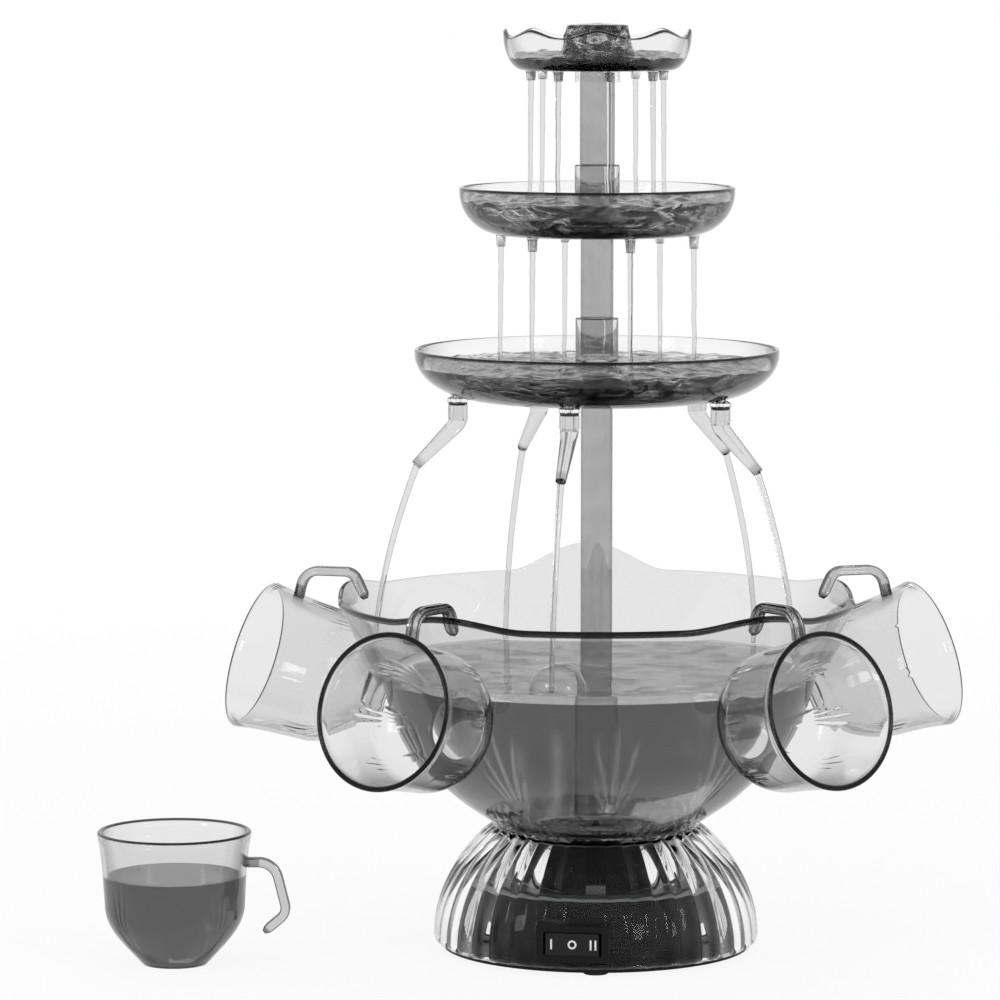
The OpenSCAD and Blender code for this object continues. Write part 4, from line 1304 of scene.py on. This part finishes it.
SWITCH_BEARING = -8
MARK_RISE = 0.15 * MM
MARK_EDGE = 0.5 * MARK_RISE
MARK_BEVEL = 0.1 * MM
MARK_HEIGHT = 5 * MM
MARK_BAR = 0.9 * MM
MARK_PLACE = 10.4 * MM
MARK_PAIR = 1.2 * MM
MARK_RING = (2.2 * MM, 1.3 * MM)


def flat_bar(x):
    """A thin bar with bevelled edges that faces -Y, with its back on the plane y = 0."""
    points = []
    rings = []
    for inset, rise in ((0, 0), (0, MARK_EDGE), (MARK_BEVEL, MARK_RISE)):
        w, h = MARK_BAR / 2 - inset, MARK_HEIGHT / 2 - inset
        rings.append([len(points) + corner for corner in range(4)])
        points += [Vector((x + a * w, -rise, b * h)) for a, b in ((-1, -1), (1, -1), (1, 1), (-1, 1))]
    return points, bar_faces(rings)


def flat_ring():
    wide, narrow = MARK_RING
    outline = [(narrow, 0), (wide, 0), (wide, MARK_EDGE), (wide - MARK_BEVEL, MARK_RISE),
               (narrow + MARK_BEVEL, MARK_RISE), (narrow, MARK_EDGE)]
    return moved(lathe(outline, turns=40), Matrix.Rotation(math.radians(90), 4, "X"))


def make_switch_marks():
    middle_z = (low_z("switch_rocker") + high_z("switch_rocker")) / 2
    forward = at_bearing(SWITCH_BEARING, 1, 0)
    front = max(Vector(v.co).dot(forward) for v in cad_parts["switch_rocker"].data.vertices)
    pair = [flat_bar(MARK_PLACE - MARK_PAIR), flat_bar(MARK_PLACE + MARK_PAIR)]
    bars = [flat_bar(-MARK_PLACE), flat_ring()] + pair
    place = Matrix.Translation(forward * front + Vector((0, 0, middle_z))) @ facing(SWITCH_BEARING)
    make_piece("switch_marks", moved(joined(bars), place), white_paint, "rocker")


# Finishes of the pieces that keep their CAD shape

def finish_nodes():
    finishes = {
        black_plastic: ["base_pan", "power_inlet", "switch_bezel"],
        black_gloss: ["switch_rocker"],
        housing_lit_top: ["motor_housing"],
        rubber: ["rubber_feet", "spout_seals"],
        silicone: ["bowl_gasket"],
        steel: ["base_screws", "motor_screws", "switch_pin", "motor_shaft", "spindle_pin", "motor_can"],
        brass: ["motor_bush"],
        board: ["light_board"],
        light: ["lights"],
        white_plastic: ["impeller"],
        magnet: ["drive_magnet", "driven_magnet"],
        clear: ["pump_cover", "flow_cap"],
    }
    for material, nodes in finishes.items():
        for node in nodes:
            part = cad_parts[node]
            part.data.materials.clear()
            part.data.materials.append(material)


# Stage: a pale floor, soft light and the camera

FLOOR_SIZE = 6
FLOOR_DROP = 0.2 * MM
FLOOR_GREY = 0.9
# Share of plain white in the floor near the part, and the distances between which it grows to 1
FLOOR_WHITE = 0.9
FLOOR_NEAR = 0.35
FLOOR_FAR = 1.5
SOFT_LEVEL = 0.75
BOUNCES = 40
TRANSMISSION_BOUNCES = 36
TRANSPARENT_BOUNCES = 16


def direct_rays(tree):
    """1 for rays from the camera, in reflections and through clear pieces, and 0 for the rest."""
    path = add_node(tree, "LightPath")
    found = path.outputs["Is Camera Ray"]
    for kind in ("Is Glossy Ray", "Is Transmission Ray"):
        either = math_node(tree, "MAXIMUM")
        tree.links.new(found, either.inputs[0])
        tree.links.new(path.outputs[kind], either.inputs[1])
        found = either.outputs[0]
    return found


def make_stage():
    mesh = bpy.data.meshes.new("floor")
    corners = [(a * FLOOR_SIZE, b * FLOOR_SIZE, 0) for a, b in ((-1, -1), (1, -1), (1, 1), (-1, 1))]
    mesh.from_pydata(corners, [], [(0, 1, 2, 3)])
    floor = bpy.data.objects.new("floor", mesh)
    bpy.context.scene.collection.objects.link(floor)
    floor.location.z = -FLOOR_DROP
    material, tree, surface = new_material("floor")
    links = tree.links
    blend = add_node(tree, "MixShader")
    matte = add_node(tree, "BsdfDiffuse", Color=(*grey(FLOOR_GREY), 1))
    glow = add_node(tree, "Emission")
    place = add_node(tree, "TexCoord")
    away = add_node(tree, "VectorMath")
    away.operation = "LENGTH"
    fade = add_node(tree, "MapRange", From_Min=FLOOR_NEAR, From_Max=FLOOR_FAR, To_Min=FLOOR_WHITE, To_Max=1)
    share = math_node(tree, "MULTIPLY")
    links.new(place.outputs["Object"], away.inputs[0])
    links.new(away.outputs["Value"], fade.inputs["Value"])
    links.new(fade.outputs["Result"], share.inputs[0])
    links.new(direct_rays(tree), share.inputs[1])
    links.new(share.outputs[0], blend.inputs["Fac"])
    links.new(matte.outputs["BSDF"], blend.inputs[1])
    links.new(glow.outputs["Emission"], blend.inputs[2])
    links.new(blend.outputs["Shader"], surface)
    mesh.materials.append(material)


def make_world():
    """White to the camera, in reflections and through clear pieces, and soft even light for the rest."""
    world = bpy.data.worlds.new("studio")
    bpy.context.scene.world = world
    world.use_nodes = True
    tree = world.node_tree
    tree.nodes.clear()
    output = add_node(tree, "OutputWorld")
    soft = add_node(tree, "Background", Color=(1, 1, 1, 1), Strength=SOFT_LEVEL)
    white = add_node(tree, "Background", Color=(1, 1, 1, 1))
    seen = add_node(tree, "MixShader")
    tree.links.new(direct_rays(tree), seen.inputs["Fac"])
    tree.links.new(soft.outputs["Background"], seen.inputs[1])
    tree.links.new(white.outputs["Background"], seen.inputs[2])
    tree.links.new(seen.outputs["Shader"], output.inputs["Surface"])


def make_lamp(name, place, aim, size, power):
    lamp = bpy.data.lights.new(name, "AREA")
    lamp.shape = "RECTANGLE"
    lamp.size = size[0]
    lamp.size_y = size[1]
    lamp.energy = power
    holder = bpy.data.objects.new(name, lamp)
    bpy.context.scene.collection.objects.link(holder)
    holder.location = place
    holder.rotation_euler = (Vector(aim) - Vector(place)).to_track_quat("-Z", "Y").to_euler()


def make_camera():
    data = bpy.data.cameras.new("camera")
    data.sensor_width = CAMERA_SENSOR
    data.lens = CAMERA_LENS
    data.clip_end = CAMERA_FAR
    camera = bpy.data.objects.new("camera", data)
    bpy.context.scene.collection.objects.link(camera)
    camera.location = (0, -CAMERA_AWAY, CAMERA_HEIGHT)
    camera.rotation_euler = (math.radians(90 - CAMERA_PITCH), 0, math.radians(CAMERA_YAW))
    bpy.context.scene.camera = camera


make_camera()
make_stage()
make_world()
make_lamp("left_window", place=(-1.5, -1.3, 1.0), aim=(0, 0, 0.2), size=(0.35, 0.6), power=7)
make_lamp("right_window", place=(1.4, -1.5, 0.8), aim=(0, 0, 0.15), size=(0.4, 0.6), power=9)
make_lamp("rear_window", place=(-0.5, 1.85, 1.2), aim=(0, 0, 0.2), size=(0.6, 0.5), power=1.3)
bpy.context.scene.view_settings.view_transform = "Standard"
bpy.context.scene.cycles.max_bounces = BOUNCES
bpy.context.scene.cycles.transmission_bounces = TRANSMISSION_BOUNCES
bpy.context.scene.cycles.transparent_max_bounces = TRANSPARENT_BOUNCES

make_bowl()
make_base_shell()
make_lower_tray()
make_middle_tray()
make_crown()
make_tubes()
make_spouts()
make_cups()
make_bowl_drink()
make_tube_drink()
make_bubble()
make_tray_drink("lower_tray_drink", lower, LOWER_DEPTH)
make_tray_drink("middle_tray_drink", middle, MIDDLE_DEPTH)
make_tray_drink("crown_drink", crown, CROWN_DEPTH)
make_crown_dome(crown.top - CROWN_DEPTH)
make_cup_drink()
make_falls("crown_stream", CROWN_NOZZLES, crown, middle.top - CROWN_FALL_DEPTH, seed=0)
make_falls("middle_stream", MIDDLE_NOZZLES, middle, lower.top - MIDDLE_FALL_DEPTH, seed=20)
make_spout_streams()
make_switch_marks()
finish_nodes()
